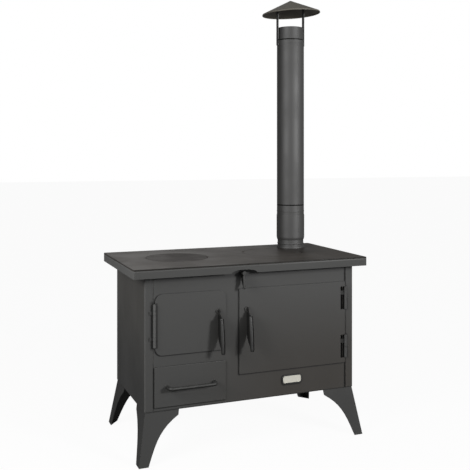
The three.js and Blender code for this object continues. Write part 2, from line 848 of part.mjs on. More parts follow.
function addHandle(door, prefix, pivotX, hingeX, reach, side) {
  const handle = groupAt(door, pivotX - hingeX, 0, handleLevel);
  piece(handle, `${prefix}_handle_boss`, handleBoss(), handleSteel, 0, doorFace - seatGap - hingeAxisY, 0);
  piece(handle, `${prefix}_handle`, doorHandle(), handleSteel, 0, doorFace - hingeAxisY, 0);
  piece(handle, `${prefix}_latch`, latch(reach, side), innerSteel, 0, rimBack + seatGap - hingeAxisY, 0);
}

function knuckleLevels() {
  const bottom = fireboxDoorBottom + fireboxHingeRise;
  return [bottom + knuckleInset, bottom + fireboxHingeLength - knuckleInset - knuckleHeight];
}

// The door's hinge edge carries a long barrel, cut away where the body's knuckles stand
function fireboxDoor() {
  const left = fireboxDoorLeft - fireboxHingeX;
  const outline = roundedRectangle(
    new THREE.Shape(), left, left + fireboxDoorWidth, fireboxDoorBottom, doorTop, fireboxDoorCorner,
  );
  const sheet = uprightSheet(outline, doorSheet).translate(0, doorBack - hingeAxisY, 0);
  const bottom = fireboxDoorBottom + fireboxHingeRise;
  const top = bottom + fireboxHingeLength;
  const barrel = uprightRod(hingeRadius, bottom, top, boreSides);
  const reach = hingeRadius + runningGap;
  const gaps = knuckleLevels().map((level) => block(
    -reach, reach, -reach, reach + doorSheet, level - runningGap, level + knuckleHeight + runningGap,
  ));
  const boreRadius = hingePinRadius + runningGap / 2;
  const bore = uprightRod(boreRadius, bottom - cutOverrun, top + cutOverrun, boreSides);
  const hole = spindleHole(fireboxPivotX, fireboxHingeX).translate(0, doorBack - hingeAxisY, 0);
  return cut(fuse(sheet, barrel), bore, hole, ...gaps);
}

function hingeLeaf(left, right, bottom, top) {
  const back = frontFace - seatGap - hingeAxisY;
  return block(left, right, back - hingeLeafSheet, back, bottom, top);
}

function fireboxKnuckle() {
  const barrel = uprightRod(hingeRadius, 0, knuckleHeight, boreSides);
  const bore = uprightRod(hingePinRadius + seatGap, -cutOverrun, knuckleHeight + cutOverrun, boreSides);
  return cut(fuse(barrel, hingeLeaf(-knuckleLeaf, 0, 0, knuckleHeight)), bore);
}

// The pin stands out of both ends of the barrel and is chamfered there
function fireboxHingePin() {
  const tip = hingePinRadius - hingePinChamfer;
  const [bottom, top] = [-hingePinEnd, fireboxHingeLength + hingePinEnd];
  return turned([
    [0, bottom],
    [tip, bottom],
    [hingePinRadius, bottom + hingePinChamfer],
    [hingePinRadius, top - hingePinChamfer],
    [tip, top],
    [0, top],
  ], rodSides);
}

function buildFireboxDoor(stove) {
  const door = groupAt(stove, fireboxHingeX, hingeAxisY, 0);
  piece(door, 'firebox_door', fireboxDoor(), blackSteel);
  const rim = doorRim(fireboxOpening, fireboxHingeX);
  piece(door, 'firebox_door_rim', rim, innerSteel, 0, doorBack + seatGap - hingeAxisY, 0);
  const reach = fireboxOpening.right - latchGap - fireboxPivotX;
  addHandle(door, 'firebox', fireboxPivotX, fireboxHingeX, reach, 1);
  const [lower, upper] = knuckleLevels();
  const hinge = groupAt(stove, fireboxHingeX, hingeAxisY, 0);
  piece(hinge, 'firebox_knuckle_lower', fireboxKnuckle(), blackSteel, 0, 0, lower);
  piece(hinge, 'firebox_knuckle_upper', fireboxKnuckle(), blackSteel, 0, 0, upper);
  const pinBottom = fireboxDoorBottom + fireboxHingeRise;
  piece(hinge, 'firebox_hinge_pin', fireboxHingePin(), blackSteel, 0, 0, pinBottom);
}

function ovenHingeBottoms() {
  return [ovenDoorBottom + ovenHingeInset, doorTop - ovenHingeInset - ovenHingeLength];
}

// The oven door is cut back at each hinge, so that its knuckle's tongue can reach the barrel
function ovenDoor() {
  const left = ovenDoorLeft - ovenHingeX;
  const right = ovenDoorRight - ovenHingeX;
  const outline = roundedRectangle(
    new THREE.Shape(), left, right, ovenDoorBottom, doorTop, ovenDoorCorner,
  );
  const sheet = uprightSheet(outline, doorSheet).translate(0, doorBack - hingeAxisY, 0);
  const cuts = ovenHingeBottoms().map((bottom) => block(
    right - ovenCutWidth, right + cutOverrun,
    doorFace - hingeAxisY - cutOverrun, doorBack - hingeAxisY + cutOverrun,
    bottom - runningGap, bottom + ovenHingeLength + runningGap,
  ));
  const hole = spindleHole(ovenPivotX, ovenHingeX).translate(0, doorBack - hingeAxisY, 0);
  return cut(sheet, hole, ...cuts);
}

// Lift-off hinge: the lower half on the body carries the pin, the upper half on the door drops over it
function ovenHingeSeat() {
  const height = ovenHingeLength / 2 - runningGap / 2;
  const barrel = uprightRod(hingeRadius, 0, height, boreSides);
  const pin = uprightRod(hingePinRadius, height - hingePinRadius, height + ovenHingePin);
  return fuse(barrel, pin, hingeLeaf(0, ovenHingeLeaf, 0, height));
}

function ovenHingeKnuckle() {
  const [bottom, top] = [ovenHingeLength / 2 + runningGap / 2, ovenHingeLength];
  const barrel = uprightRod(hingeRadius, bottom, top, boreSides);
  const boreTop = ovenHingeLength / 2 + ovenHingePin + runningGap;
  const bore = uprightRod(hingePinRadius + seatGap, bottom - cutOverrun, boreTop, boreSides);
  const tongueTop = top - ovenTongueDrop;
  const [front, back] = [doorFace - hingeAxisY, doorBack - hingeAxisY];
  const left = ovenDoorRight - ovenCutWidth + seatGap - ovenHingeX;
  const tongue = block(left, 0, front, back, tongueTop - ovenTongueHeight, tongueTop);
  return cut(fuse(barrel, tongue), bore);
}

function buildOvenDoor(stove) {
  const door = groupAt(stove, ovenHingeX, hingeAxisY, 0);
  piece(door, 'oven_door', ovenDoor(), blackSteel);
  const rim = doorRim(ovenOpening, ovenHingeX);
  piece(door, 'oven_door_rim', rim, innerSteel, 0, doorBack + seatGap - hingeAxisY, 0);
  addHandle(door, 'oven', ovenPivotX, ovenHingeX, ovenPivotX - ovenOpening.left - latchGap, -1);
  const hinge = groupAt(stove, ovenHingeX, hingeAxisY, 0);
  for (const [level, bottom] of ovenHingeBottoms().entries()) {
    const place = ['lower', 'upper'][level];
    piece(hinge, `oven_hinge_seat_${place}`, ovenHingeSeat(), blackSteel, 0, 0, bottom);
    piece(door, `oven_hinge_knuckle_${place}`, ovenHingeKnuckle(), blackSteel, 0, 0, bottom);
  }
}

// Ash drawer and its runners

function drawerHandle() {
  const half = drawerHandleSpan / 2;
  const bend = drawerHandleBend;
  const at = (x, reach) => new THREE.Vector3(x, -reach, 0);
  const path = new THREE.CurvePath();
  const bar = drawerHandleReach;
  path.add(new THREE.LineCurve3(at(-half, 0), at(-half, bar - bend)));
  path.add(new THREE.QuadraticBezierCurve3(at(-half, bar - bend), at(-half, bar), at(bend - half, bar)));
  path.add(new THREE.LineCurve3(at(bend - half, bar), at(half - bend, bar)));
  path.add(new THREE.QuadraticBezierCurve3(at(half - bend, bar), at(half, bar), at(half, bar - bend)));
  path.add(new THREE.LineCurve3(at(half, bar - bend), at(half, 0)));
  return sweptRod(drawerHandleRadius, path, drawerHandleSteps, neckSides);
}

// A floor with two sides and a rear wall on it; the drawer's front closes the tray
function addAshTray(drawer, width, depth, height, x, z) {
  const tray = groupAt(drawer, x, seatGap, z);
  const bottom = traySheet + seatGap;
  const wallDepth = depth - traySheet - seatGap;
  const side = block(0, traySheet, 0, wallDepth, bottom, height);
  piece(tray, 'ash_tray_floor', block(0, width, 0, depth, 0, traySheet), innerSteel);
  piece(tray, 'ash_tray_side_left', side, innerSteel);
  piece(tray, 'ash_tray_side_right', side.clone(), innerSteel, width - traySheet, 0, 0);
  piece(tray, 'ash_tray_rear', block(0, width, depth - traySheet, depth, bottom, height), innerSteel);
}

// A folded runner: a foot on the base, an upright web and a flange that the tray slides on
function ashRunner(height) {
  const outline = new THREE.Shape();
  outline.moveTo(0, 0);
  outline.lineTo(runnerSheet, 0);
  outline.lineTo(runnerSheet, height - runnerSheet);
  outline.lineTo(runnerFlange, height - runnerSheet);
  outline.lineTo(runnerFlange, height);
  outline.lineTo(0, height);
  outline.lineTo(0, runnerSheet);
  outline.lineTo(-runnerFoot, runnerSheet);
  outline.lineTo(-runnerFoot, 0);
  outline.closePath();
  return outline;
}

function buildAshDrawer(stove) {
  const drawer = groupAt(stove, 0, doorBack, 0);
  const front = roundedRectangle(
    new THREE.Shape(), ashFrontLeft, ashFrontRight, ashFrontBottom, ashFrontTop, ovenDoorCorner,
  );
  piece(drawer, 'ash_drawer_front', uprightSheet(front, doorSheet), blackSteel);
  const trayWidth = ashOpening.right - ashOpening.left - 2 * traySideGap;
  const trayBottom = ashOpening.bottom + trayRise;
  const trayHeight = ashOpening.top - trayTopGap - trayBottom;
  const trayDepth = bodyDepth - trayRearGap;
  addAshTray(drawer, trayWidth, trayDepth, trayHeight, ashOpening.left + traySideGap, trayBottom);
  const middle = (ashFrontLeft + ashFrontRight) / 2;
  const level = (ashFrontBottom + ashFrontTop) / 2;
  const handleFace = -doorSheet - seatGap;
  piece(drawer, 'ash_drawer_handle', drawerHandle(), handleSteel, middle, handleFace, level);
  const runnerLevel = baseTop + seatGap;
  const runnerHeight = trayBottom - seatGap - runnerLevel;
  const runner = stripToBack(ashRunner(runnerHeight), rearInner - frontInner - 2 * seatGap);
  const edge = ashOpening.left + traySideGap + runnerInset;
  const farEdge = ashOpening.right - traySideGap - runnerInset;
  const y = frontInner + seatGap;
  piece(stove, 'ash_runner_left', runner, innerSteel, edge, y, runnerLevel);
  piece(stove, 'ash_runner_right', runner.clone().scale(-1, 1, 1), innerSteel, farEdge, y, runnerLevel);
}

// Firebox: floor with its grate, firebrick lining, and the wall towards the oven

function fireboxFloor(left, right, front, back) {
  const floor = rectangle(new THREE.Shape(), left, right, front, back);
  const centre = (left + right) / 2;
  const [halfWidth, halfDepth] = [grateWidth / 2 - grateLap, grateDepth / 2 - grateLap];
  floor.holes.push(rectangle(
    new THREE.Path(), centre - halfWidth, centre + halfWidth, -halfDepth, halfDepth,
  ));
  return extruded(floor, wallSheet);
}

function grate() {
  const [halfWidth, halfDepth] = [grateWidth / 2, grateDepth / 2];
  const plate = roundedRectangle(
    new THREE.Shape(), -halfWidth, halfWidth, -halfDepth, halfDepth, grateRim / 2,
  );
  const pitch = (grateWidth - 2 * grateRim + grateSlot) / (grateSlotCount + 0.5);
  const slotLength = halfDepth - grateRim - grateCrossBar / 2;
  for (let i = 0; i < grateSlotCount; i += 1) {
    const left = (i - (grateSlotCount - 1) / 2) * pitch - grateSlot / 2;
    for (const front of [-halfDepth + grateRim, grateCrossBar / 2]) {
      const slot = new THREE.Path();
      const radius = grateSlot / 2;
      slot.moveTo(left, front + radius);
      slot.lineTo(left, front + slotLength - radius);
      slot.absarc(left + radius, front + slotLength - radius, radius, Math.PI, 0, true);
      slot.lineTo(left + grateSlot, front + radius);
      slot.absarc(left + radius, front + radius, radius, 0, -Math.PI, true);
      plate.holes.push(slot);
    }
  }
  return new THREE.ExtrudeGeometry(plate, {
    depth: grateThickness, bevelEnabled: false, curveSegments: slotSteps,
  });
}

// A firebrick slab with chamfered edges, drawn in X and Y and standing on z = 0
function brick(width, depth, height) {
  const inset = brickChamfer;
  const outline = rectangle(new THREE.Shape(), inset, width - inset, inset, depth - inset);
  const slab = new THREE.ExtrudeGeometry(outline, {
    depth: height - 2 * inset, bevelSize: inset, bevelThickness: inset, bevelSegments: 1,
  });
  return slab.translate(0, 0, inset);
}

function buildFirebox(stove) {
  const [left, right] = [-wallInner + seatGap, dividerLeft - seatGap];
  const [front, back] = [frontInner + seatGap, rearInner - seatGap];
  const dividerBottom = baseTop + seatGap;
  const divider = block(dividerLeft, dividerRight, front, back, dividerBottom, dividerTop);
  piece(stove, 'firebox_divider', divider, innerSteel);
  const floor = fireboxFloor(left, right, front, back);
  piece(stove, 'firebox_floor', floor, innerSteel, 0, 0, hearthTop - wallSheet);
  const brickLevel = hearthTop + seatGap;
  piece(stove, 'grate', grate(), castIron, (left + right) / 2, 0, brickLevel);
  const length = back - front;
  const leftHeight = bodyTop - sideBrickHeadroom - brickLevel;
  const rightHeight = dividerTop - brickLevel;
  const between = right - left - 2 * brickThickness - 2 * seatGap;
  const inside = left + brickThickness + seatGap;
  const leftBrick = brick(brickThickness, length, leftHeight);
  piece(stove, 'brick_left', leftBrick, firebrick, left, front, brickLevel);
  const rightBrick = brick(brickThickness, length, rightHeight);
  piece(stove, 'brick_right', rightBrick, firebrick, right - brickThickness, front, brickLevel);
  const rearBrick = brick(between, brickThickness, leftHeight);
  piece(stove, 'brick_rear', rearBrick, firebrick, inside, back - brickThickness, brickLevel);
  const frontBrick = brick(between, brickThickness, fireboxOpening.bottom - brickLevel);
  piece(stove, 'brick_front', frontBrick, firebrick, inside, front, brickLevel);
}

// Oven box with its rails and wire rack

function ovenRack(width, depth) {
  const [halfWidth, halfDepth] = [width / 2 - rackFrameRadius, depth / 2 - rackFrameRadius];
  const bar = (radius, length) => new THREE.CylinderGeometry(radius, radius, length, wireSides);
  const sideLength = 2 * halfDepth + 2 * rackFrameRadius;
  const sides = [-halfWidth, halfWidth].map((x) => bar(rackFrameRadius, sideLength).translate(x, 0, 0));
  const ends = [-halfDepth, halfDepth].map((y) => (
    bar(rackFrameRadius, 2 * halfWidth).rotateZ(Math.PI / 2).translate(0, y, 0)
  ));
  const wires = Array.from({ length: rackWireCount }, (_, i) => {
    const x = -halfWidth + (2 * halfWidth * (i + 1)) / (rackWireCount + 1);
    return bar(rackWireRadius, 2 * halfDepth).translate(x, 0, 0);
  });
  return fuse(...sides, ...ends, ...wires);
}

function ovenRail(side) {
  const outline = new THREE.Shape();
  outline.moveTo(0, 0);
  outline.lineTo(railSheet, 0);
  outline.lineTo(railSheet, railWeb - railSheet);
  outline.lineTo(railFlange, railWeb - railSheet);
  outline.lineTo(railFlange, railWeb);
  outline.lineTo(0, railWeb);
  outline.closePath();
  return stripToBack(outline, bodyDepth - ovenRearGap - 2 * railEndGap).scale(side, 1, 1);
}

function buildOven(stove) {
  const { left, right, bottom, top } = ovenOpening;
  const ovenDepth = bodyDepth - ovenRearGap;
  const front = frontInner + seatGap;
  const outer = block(
    left - ovenSheet, right + ovenSheet, front, front + ovenDepth, bottom - ovenSheet, top + ovenSheet,
  );
  const inner = block(left, right, front - cutOverrun, front + ovenDepth - ovenSheet, bottom, top);
  piece(stove, 'oven_box', cut(outer, inner), innerSteel);
  const railTop = bottom + rackHeightShare * (top - bottom);
  const railFront = front + railEndGap;
  piece(stove, 'oven_rail_left', ovenRail(1), innerSteel, left + seatGap, railFront, railTop - railWeb);
  piece(stove, 'oven_rail_right', ovenRail(-1), innerSteel, right - seatGap, railFront, railTop - railWeb);
  const rackWidth = right - left - 2 * rackSideGap;
  const rackDepth = ovenDepth - 2 * railEndGap;
  const rackY = railFront + rackDepth / 2;
  const rack = ovenRack(rackWidth, rackDepth);
  const rackLevel = railTop + seatGap + rackFrameRadius;
  piece(stove, 'oven_rack', rack, innerSteel, (left + right) / 2, rackY, rackLevel);
}

// Damper: a flap on a rod that runs from front to back, turned by a small lever

function damperFlap() {
  const [front, back] = [frontInner + damperEndGap, rearInner - damperEndGap];
  const rodFront = frontFace - damperReach + damperHubLength - damperHubBore;
  const rod = rodToBack(damperRodRadius, rodFront + seatGap, rearFace + runningGap);
  const half = damperFlapSheet / 2;
  return fuse(rod, block(-half, half, front, back, -damperFlapLength, 0));
}

// A hub with a blind bore for the rod, and a short lever under the arch of the plate's apron
function damperHandle() {
  const hub = rodToBack(damperHubRadius, 0, damperHubLength, boreSides);
  const boreFront = damperHubLength - damperHubBore;
  const bore = rodToBack(damperRodRadius + seatGap, boreFront, damperHubLength + cutOverrun, boreSides);
  const top = new THREE.Vector3(0, damperRodRadius, -damperNeckDrop);
  const path = new THREE.LineCurve3(new THREE.Vector3(0, damperRodRadius, 0), top);
  const neck = sweptRod(neckRadius, path, 1, neckSides);
  return cut(fuse(hub, neck, grip(top, damperGripRadius, damperGripLength, damperGripFlare)), bore);
}

function buildDamper(stove) {
  const damper = groupAt(stove, damperX, 0, damperLevel);
  piece(damper, 'damper_flap', damperFlap(), innerSteel);
  piece(damper, 'damper_handle', damperHandle(), handleSteel, 0, frontFace - damperReach, 0);
}

// Plain plate with a raised rim
function namePlate() {
  const [halfWidth, halfHeight] = [namePlateWidth / 2, namePlateHeight / 2];
  const outer = roundedRectangle(
    new THREE.Shape(), -halfWidth, halfWidth, -halfHeight, halfHeight, namePlateCorner,
  );
  const inner = roundedRectangle(
    new THREE.Shape(), namePlateRim - halfWidth, halfWidth - namePlateRim,
    namePlateRim - halfHeight, halfHeight - namePlateRim, namePlateCorner - namePlateRim,
  );
  const rim = uprightSheet(outer, 2 * namePlateSheet);
  return cut(rim, uprightSheet(inner, 2 * namePlateSheet).translate(0, -namePlateSheet, 0));
}

const stove = new THREE.Group();
buildBody(stove);
buildLegs(stove);
buildTop(stove);
buildFlue(stove);
buildFireboxDoor(stove);
buildOvenDoor(stove);
buildAshDrawer(stove);
buildFirebox(stove);
buildOven(stove);
buildDamper(stove);
piece(stove, 'nameplate', namePlate(), plainPlate, namePlateX, doorBack, bodyBottom + namePlateRise);

// The origin is on the floor, under the middle of the whole stove
const middle = new THREE.Box3().setFromObject(stove, true).getCenter(new THREE.Vector3());
stove.position.set(-middle.x, -middle.y, 0);

export default stove;
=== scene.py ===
"""Dresses the wood cookstove: finished sheet metal, turned flue, levers, fasteners, materials and studio."""

import json
import math
from functools import cache, reduce

import bmesh
import bpy
from bpy.props import FloatProperty, FloatVectorProperty, IntProperty, PointerProperty
from mathutils import Matrix, Vector


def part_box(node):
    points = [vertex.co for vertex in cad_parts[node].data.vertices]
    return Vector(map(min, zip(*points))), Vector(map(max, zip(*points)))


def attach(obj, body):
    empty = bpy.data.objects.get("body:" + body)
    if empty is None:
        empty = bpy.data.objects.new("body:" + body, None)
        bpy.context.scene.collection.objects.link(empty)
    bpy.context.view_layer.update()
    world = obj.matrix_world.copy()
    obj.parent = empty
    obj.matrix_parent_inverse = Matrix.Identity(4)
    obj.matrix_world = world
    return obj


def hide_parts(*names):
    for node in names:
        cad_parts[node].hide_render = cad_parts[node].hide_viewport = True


bl_info = {
    "name": "Wood Cookstove",
    "version": (1, 0, 0),
    "blender": (4, 5, 0),
    "location": "View3D > Sidebar > Cookstove",
    "description": "Finishes a sheet steel wood cookstove and sets up its studio",
    "category": "Object",
}

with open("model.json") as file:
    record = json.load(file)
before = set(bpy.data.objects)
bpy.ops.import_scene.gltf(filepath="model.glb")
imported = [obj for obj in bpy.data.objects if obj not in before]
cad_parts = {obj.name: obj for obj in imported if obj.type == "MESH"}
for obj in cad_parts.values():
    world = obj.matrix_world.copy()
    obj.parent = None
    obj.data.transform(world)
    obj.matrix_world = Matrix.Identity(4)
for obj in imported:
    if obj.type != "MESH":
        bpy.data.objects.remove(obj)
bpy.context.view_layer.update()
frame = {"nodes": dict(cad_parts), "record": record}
BODY_OF = {
    node: body
    for body, nodes in frame["record"]["behaviour"]["bodies"].items()
    for node in nodes
}
SLOT_OF = {entry["node"]: entry["material_slot"] for entry in frame["record"]["subparts"]}
MM = 0.001


def low(node):
    return Vector(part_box(node)[0])


def high(node):
    return Vector(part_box(node)[1])


def middle(node):
    return (low(node) + high(node)) / 2


PLATE_TOP = high("cooktop").z
FLUE_AXIS = middle("flue_spigot")
HINGE_RADIUS = 6 * MM
SAME_PLACE, NEAR = 0.001 * MM, 0.1 * MM
FINE_EDGE = 0.4 * MM
# Edges of other pieces, as shares of the radius on the edges of sheet metal
SMALL_PART_EDGE, PLATE_HOLE_EDGE, LEG_EDGE, RAISED_DOOR_EDGE, PRESSED_DOOR_EDGE = 0.7, 0.8, 1.2, 1.6, 2.4
# Edges of the flat arms, as a share of their thickness
ARM_EDGE = 0.3


# Settings that a user would change

def color_setting(name, description, default):
    return FloatVectorProperty(
        name=name, description=description, subtype="COLOR", size=3, min=0, max=1, default=default)


def share_setting(name, description, default):
    return FloatProperty(
        name=name, description=description, subtype="FACTOR", min=0, max=1, default=default)


def length_setting(name, description, default):
    return FloatProperty(
        name=name, description=description, subtype="DISTANCE", unit="LENGTH", min=0, default=default)


def strength_setting(name, description, default):
    return FloatProperty(name=name, description=description, min=0, default=default)


class StoveFinish(bpy.types.PropertyGroup):
    body_color: color_setting(
        "Body paint", "Satin stove paint of body, doors and legs", (0.058, 0.058, 0.0565))
    body_roughness: share_setting("Body roughness", "Roughness of the stove paint", 0.46)
    # The joint lines are painted shadow: this sets how dark they lie along doors, drawer, hinges and the seam
    joint_shadow_depth: share_setting("Joint lines", "How dark soot and oil lie along doors and hinges", 0.85)
    plate_color: color_setting("Cooking plate", "Ground steel of the cooking plate", (0.063, 0.055, 0.047))
    plate_roughness: share_setting("Plate roughness", "Roughness of the cooking plate", 0.44)
    lid_color: color_setting("Lids", "Seasoned cast iron of lids, rings and grate", (0.042, 0.036, 0.031))
    flue_color: color_setting("Flue enamel", "Enamel of pipes and cowl", (0.024, 0.0235, 0.0225))
    flue_roughness: share_setting("Flue roughness", "Roughness of the flue enamel", 0.6)
    handle_color: color_setting("Handles", "Dark polished steel of the grips", (0.13, 0.13, 0.125))
    steel_color: color_setting("Inner steel", "Bare sheet steel inside the stove", (0.23, 0.225, 0.21))
    brick_color: color_setting("Firebrick", "Fireclay of the firebox lining", (0.56, 0.42, 0.25))
    badge_color: color_setting(
        "Plain plate", "Pale metal of the plate under the oven door", (0.8, 0.78, 0.69))


class StoveShape(bpy.types.PropertyGroup):
    sheet_edge: length_setting("Sheet edge", "Radius broken on the edges of sheet metal", 0.5 * MM)
    plate_edge: length_setting("Plate edge", "Radius along the top edge of the cooking plate", 2.5 * MM)
    brick_edge: length_setting("Brick edge", "Radius worn on the edges of the firebricks", 0.8 * MM)
    turned_steps: IntProperty(
        name="Turned steps", description="Steps round each pipe, ring and rod",
        default=96, min=16, max=256)
    grip_radius: length_setting("Lever grip", "Largest radius of the door levers' grips", 9.4 * MM)
    arm_sheet: length_setting("Lever arm", "Thickness of the flat arm behind each lever's grip", 4.8 * MM)
    rivet_radius: length_setting("Rivet", "Radius of the rivet heads", 4 * MM)


class StoveStudio(bpy.types.PropertyGroup):
    floor_color: color_setting("Floor", "Colour of the floor", (0.93, 0.93, 0.92))
    far_floor: share_setting("Far floor", "Tone of the floor in the light that it sends back", 0.2)
    floor_glow: share_setting("Floor glow", "Share of the floor that is plain white and has no shadow", 0.95)
    ambient: strength_setting("Ambient", "Strength of the surroundings", 0.34)
    key_power: strength_setting("Key lamp", "Power of the lamp at the front right, in watts", 112)
    side_power: strength_setting("Side lamp", "Power of the lamp at the front left, in watts", 48)


# Painted effects: where each starts and ends, measured from the edge or point that it follows

# Painted shadow lines round the doors, drawer, plain plate, hinges and seam, shifted left and down as a cast
# shadow falls, and black painted shade behind the doors
LINE_CORE = 1 * MM
LINE_SHADE_SIDE = Vector((-2.5, 0, -2)) * MM
LINE_FADES = {
    "firebox_door": 4.6 * MM, "oven_door": 5.5 * MM, "ash_drawer_front": 4.4 * MM, "nameplate": 5 * MM,
    "firebox_hinge": 15 * MM, "oven_hinge": 12 * MM, "seam": 6 * MM,
}
SEAM_HALF = 0.5 * MM
THROUGH = 10
BEHIND_DOORS = (-3.5 * MM, -4.5 * MM)
FRONT_ZONE = (60 * MM, 40 * MM)
SIDE_ZONE = (-2 * MM, -1 * MM)
# Heights over which the sides of the body take their painted shade towards the floor
SIDE_PAINTED_SHADE = (0.64, 0.22)
WARM_ACROSS, WARM_HEIGHT = (-0.35, 0.2), (0.7, 0.2)
# Reach of the painted highlight along the folded corners
CORNER_HIGHLIGHT = (5 * MM, 2.5 * MM)
# Reaches of the painted shadow under the cooking plate and of the painted shade over the legs
SHADOW_UNDER_PLATE = (-27 * MM, -11 * MM)
SHADE_OVER_LEGS = (5 * MM, 1 * MM)
# Depth and fade of the painted shade on the faces inside the body
INSIDE_SHADE_DEPTH = 2.6 * MM
INSIDE_SHADE_FADE = (0, 0.4 * MM)
# Reaches of the lighter barrel, of the painted shadow in its crease, of its ends and of the painted shade
# left of it
BARREL_SKIN = (0.4 * MM, 0.1 * MM)
BARREL_CREASE_SHADOW = (9 * MM, 5.5 * MM)
BARREL_END = (3 * MM, 0)
BARREL_TONGUE = (0.5 * MM, -0.5 * MM)
LID_HEAT = (0.165, 0.125)
# Reach and shift of the painted reflection and shadow of the flue on the plate
FLUE_REFLECTION = (0.16, 0.07)
FLUE_REFLECTION_SHIFT = Vector((0, -40 * MM, 0))
APRON_TOP = (-5 * MM, -6 * MM)
# Heights and spread of the painted highlight below the apron's rolled edge
APRON_HIGHLIGHT = (-11 * MM, -8 * MM)
APRON_HIGHLIGHT_ACROSS = (-0.1, 0.25)
APRON_CORNER = (-1 * MM, 2 * MM)
ROLLED_EDGE = (-10 * MM, -5.5 * MM)
ROLLED_DEPTH, PLATE_SKIN_HEIGHT = 3.2 * MM, 0.03 * MM
PLATE_LINE = (7 * MM, 4 * MM)
# Reaches of the painted shadow in the flue's joints
PIPE_JOINT_SHADOW_START, PIPE_JOINT_SHADOW_END = (0, 0.3 * MM), (7 * MM, 3 * MM)
# Reach of the painted shade on one side of a rod
ROD_SHADE = (-0.05, 0.35)
# Black of the painted shade behind the doors, and near-black of the painted shade inside the body
BLACK, INSIDE_SHADE_COLOR = (0.003, 0.003, 0.003, 1), (0.004, 0.004, 0.004, 1)

# Painted effects: the share that each covers at its strongest, and its gain on the plain colour

# Gains of the warmer paint low at the front right, of the cowl's lighter paint, which is painted light on its
# underside, and of the legs' painted shade
WARM_GAINS, LIGHTER_COWL_GAINS, LEG_SHADE_GAIN = (0.76, 0.69, 0.63), (5.6, 5.25, 4.6), 0.68
# Tint of the sides, and share and gain of their painted shade
SIDE_TINT, SIDE_SHADE_SHARE, SIDE_SHADE_GAIN = (1.0, 0.96, 0.9, 1), 0.9, 0.4
# Gains of the painted highlight on the corners and of the painted shadow lines
CORNER_HIGHLIGHT_GAIN, JOINT_LINE_SHADOW_GAIN = 1.45, 0.15
# Share and gain of the painted shadow under the plate and of the painted shade over the legs
SHADE_BAND_SHARE, SHADE_BAND_GAIN = 0.68, 0.12
# Share of the painted shade inside the body, and of the heat rings round the lids
INSIDE_SHADE_SHARE, HEAT_SHARE = 0.9, 0.35
# Stretch, share and gain of the painted reflection and shadow of the flue
FLUE_REFLECTION_STRETCH, FLUE_REFLECTION_SHARE, FLUE_REFLECTION_GAIN = (1, 0.65, 0), 0.65, 0.3
# Gains of the apron's sides and front, the sides painted lighter as painted light, and of its painted
# highlight
APRON_SIDE_LIGHT_GAIN, APRON_FRONT_GAIN, APRON_HIGHLIGHT_GAIN = 1.85, 1.15, 2.6
# Gains of the dark line along the plate's edge and of the painted shadow in the flue's joints
PLATE_LINE_GAIN, PIPE_JOINT_SHADOW_GAIN = 0.12, 0.2
# Gain and shine of the painted shade on one side of a rod
ROD_SHADE_GAIN, ROD_SHADE_SHINE = 0.25, 0.2
SPECK_SCALE, SPECK_AMOUNT = 150.0, 0.35


# Shader nodes

def link(tree, value, socket):
    """Joins a socket to another one, or sets it to a plain value."""
    if isinstance(value, bpy.types.NodeSocket):
        tree.links.new(value, socket)
    else:
        socket.default_value = value


def mix_color(tree, factor, first, second, blend="MIX"):
    node = tree.nodes.new("ShaderNodeMix")
    node.data_type = "RGBA"
    node.blend_type = blend
    # Inputs 6 and 7 of this node take colours, and output 2 gives one
    for number, value in ((0, factor), (6, first), (7, second)):
        link(tree, value, node.inputs[number])
    return node.outputs[2]


def math_node(tree, operation, *values):
    node = tree.nodes.new("ShaderNodeMath")
    node.operation = operation
    for socket, value in zip(node.inputs, values):
        link(tree, value, socket)
    return node.outputs[0]


def vector_node(tree, operation, *values):
    node = tree.nodes.new("ShaderNodeVectorMath")
    node.operation = operation
    for socket, value in zip(node.inputs, values):
        link(tree, value, socket)
    return node.outputs["Value" if operation in ("LENGTH", "DOT_PRODUCT") else "Vector"]


def combined(tree, operation, values):
    """One value out of many, such as the largest or the smallest of them."""
    return reduce(lambda first, second: math_node(tree, operation, first, second), values)


def axes(tree, vector):
    node = tree.nodes.new("ShaderNodeSeparateXYZ")
    tree.links.new(vector, node.inputs[0])
    return node.outputs


def distance_to(tree, coordinates, centre, stretch):
    """Distance from a point, each axis weighed by the stretch."""
    offset = vector_node(tree, "SUBTRACT", coordinates, centre)
    return vector_node(tree, "LENGTH", vector_node(tree, "MULTIPLY", offset, stretch))


def noise(tree, coordinates, scale, detail=3.0, stretch=(1, 1, 1)):
    mapping = tree.nodes.new("ShaderNodeMapping")
    mapping.inputs["Scale"].default_value = stretch
    tree.links.new(coordinates, mapping.inputs["Vector"])
    texture = tree.nodes.new("ShaderNodeTexNoise")
    texture.inputs["Detail"].default_value = detail
    link(tree, scale, texture.inputs["Scale"])
    tree.links.new(mapping.outputs["Vector"], texture.inputs["Vector"])
    return texture.outputs["Fac"]


def fade(tree, value, reach, edge=0.0):
    """A soft step from 0 to 1 over a reach of (start, end), measured from an edge."""
    node = tree.nodes.new("ShaderNodeMapRange")
    node.interpolation_type = "SMOOTHSTEP"
    node.inputs["From Min"].default_value = edge + reach[0]
    node.inputs["From Max"].default_value = edge + reach[1]
    tree.links.new(value, node.inputs["Value"])
    return node.outputs["Result"]


def multiplied(tree, *values):
    return combined(tree, "MULTIPLY", values)


def rgba(color, gain=1.0):
    return tuple(min(1.0, channel * gain) for channel in color) + (1.0,)


# Shared shader groups

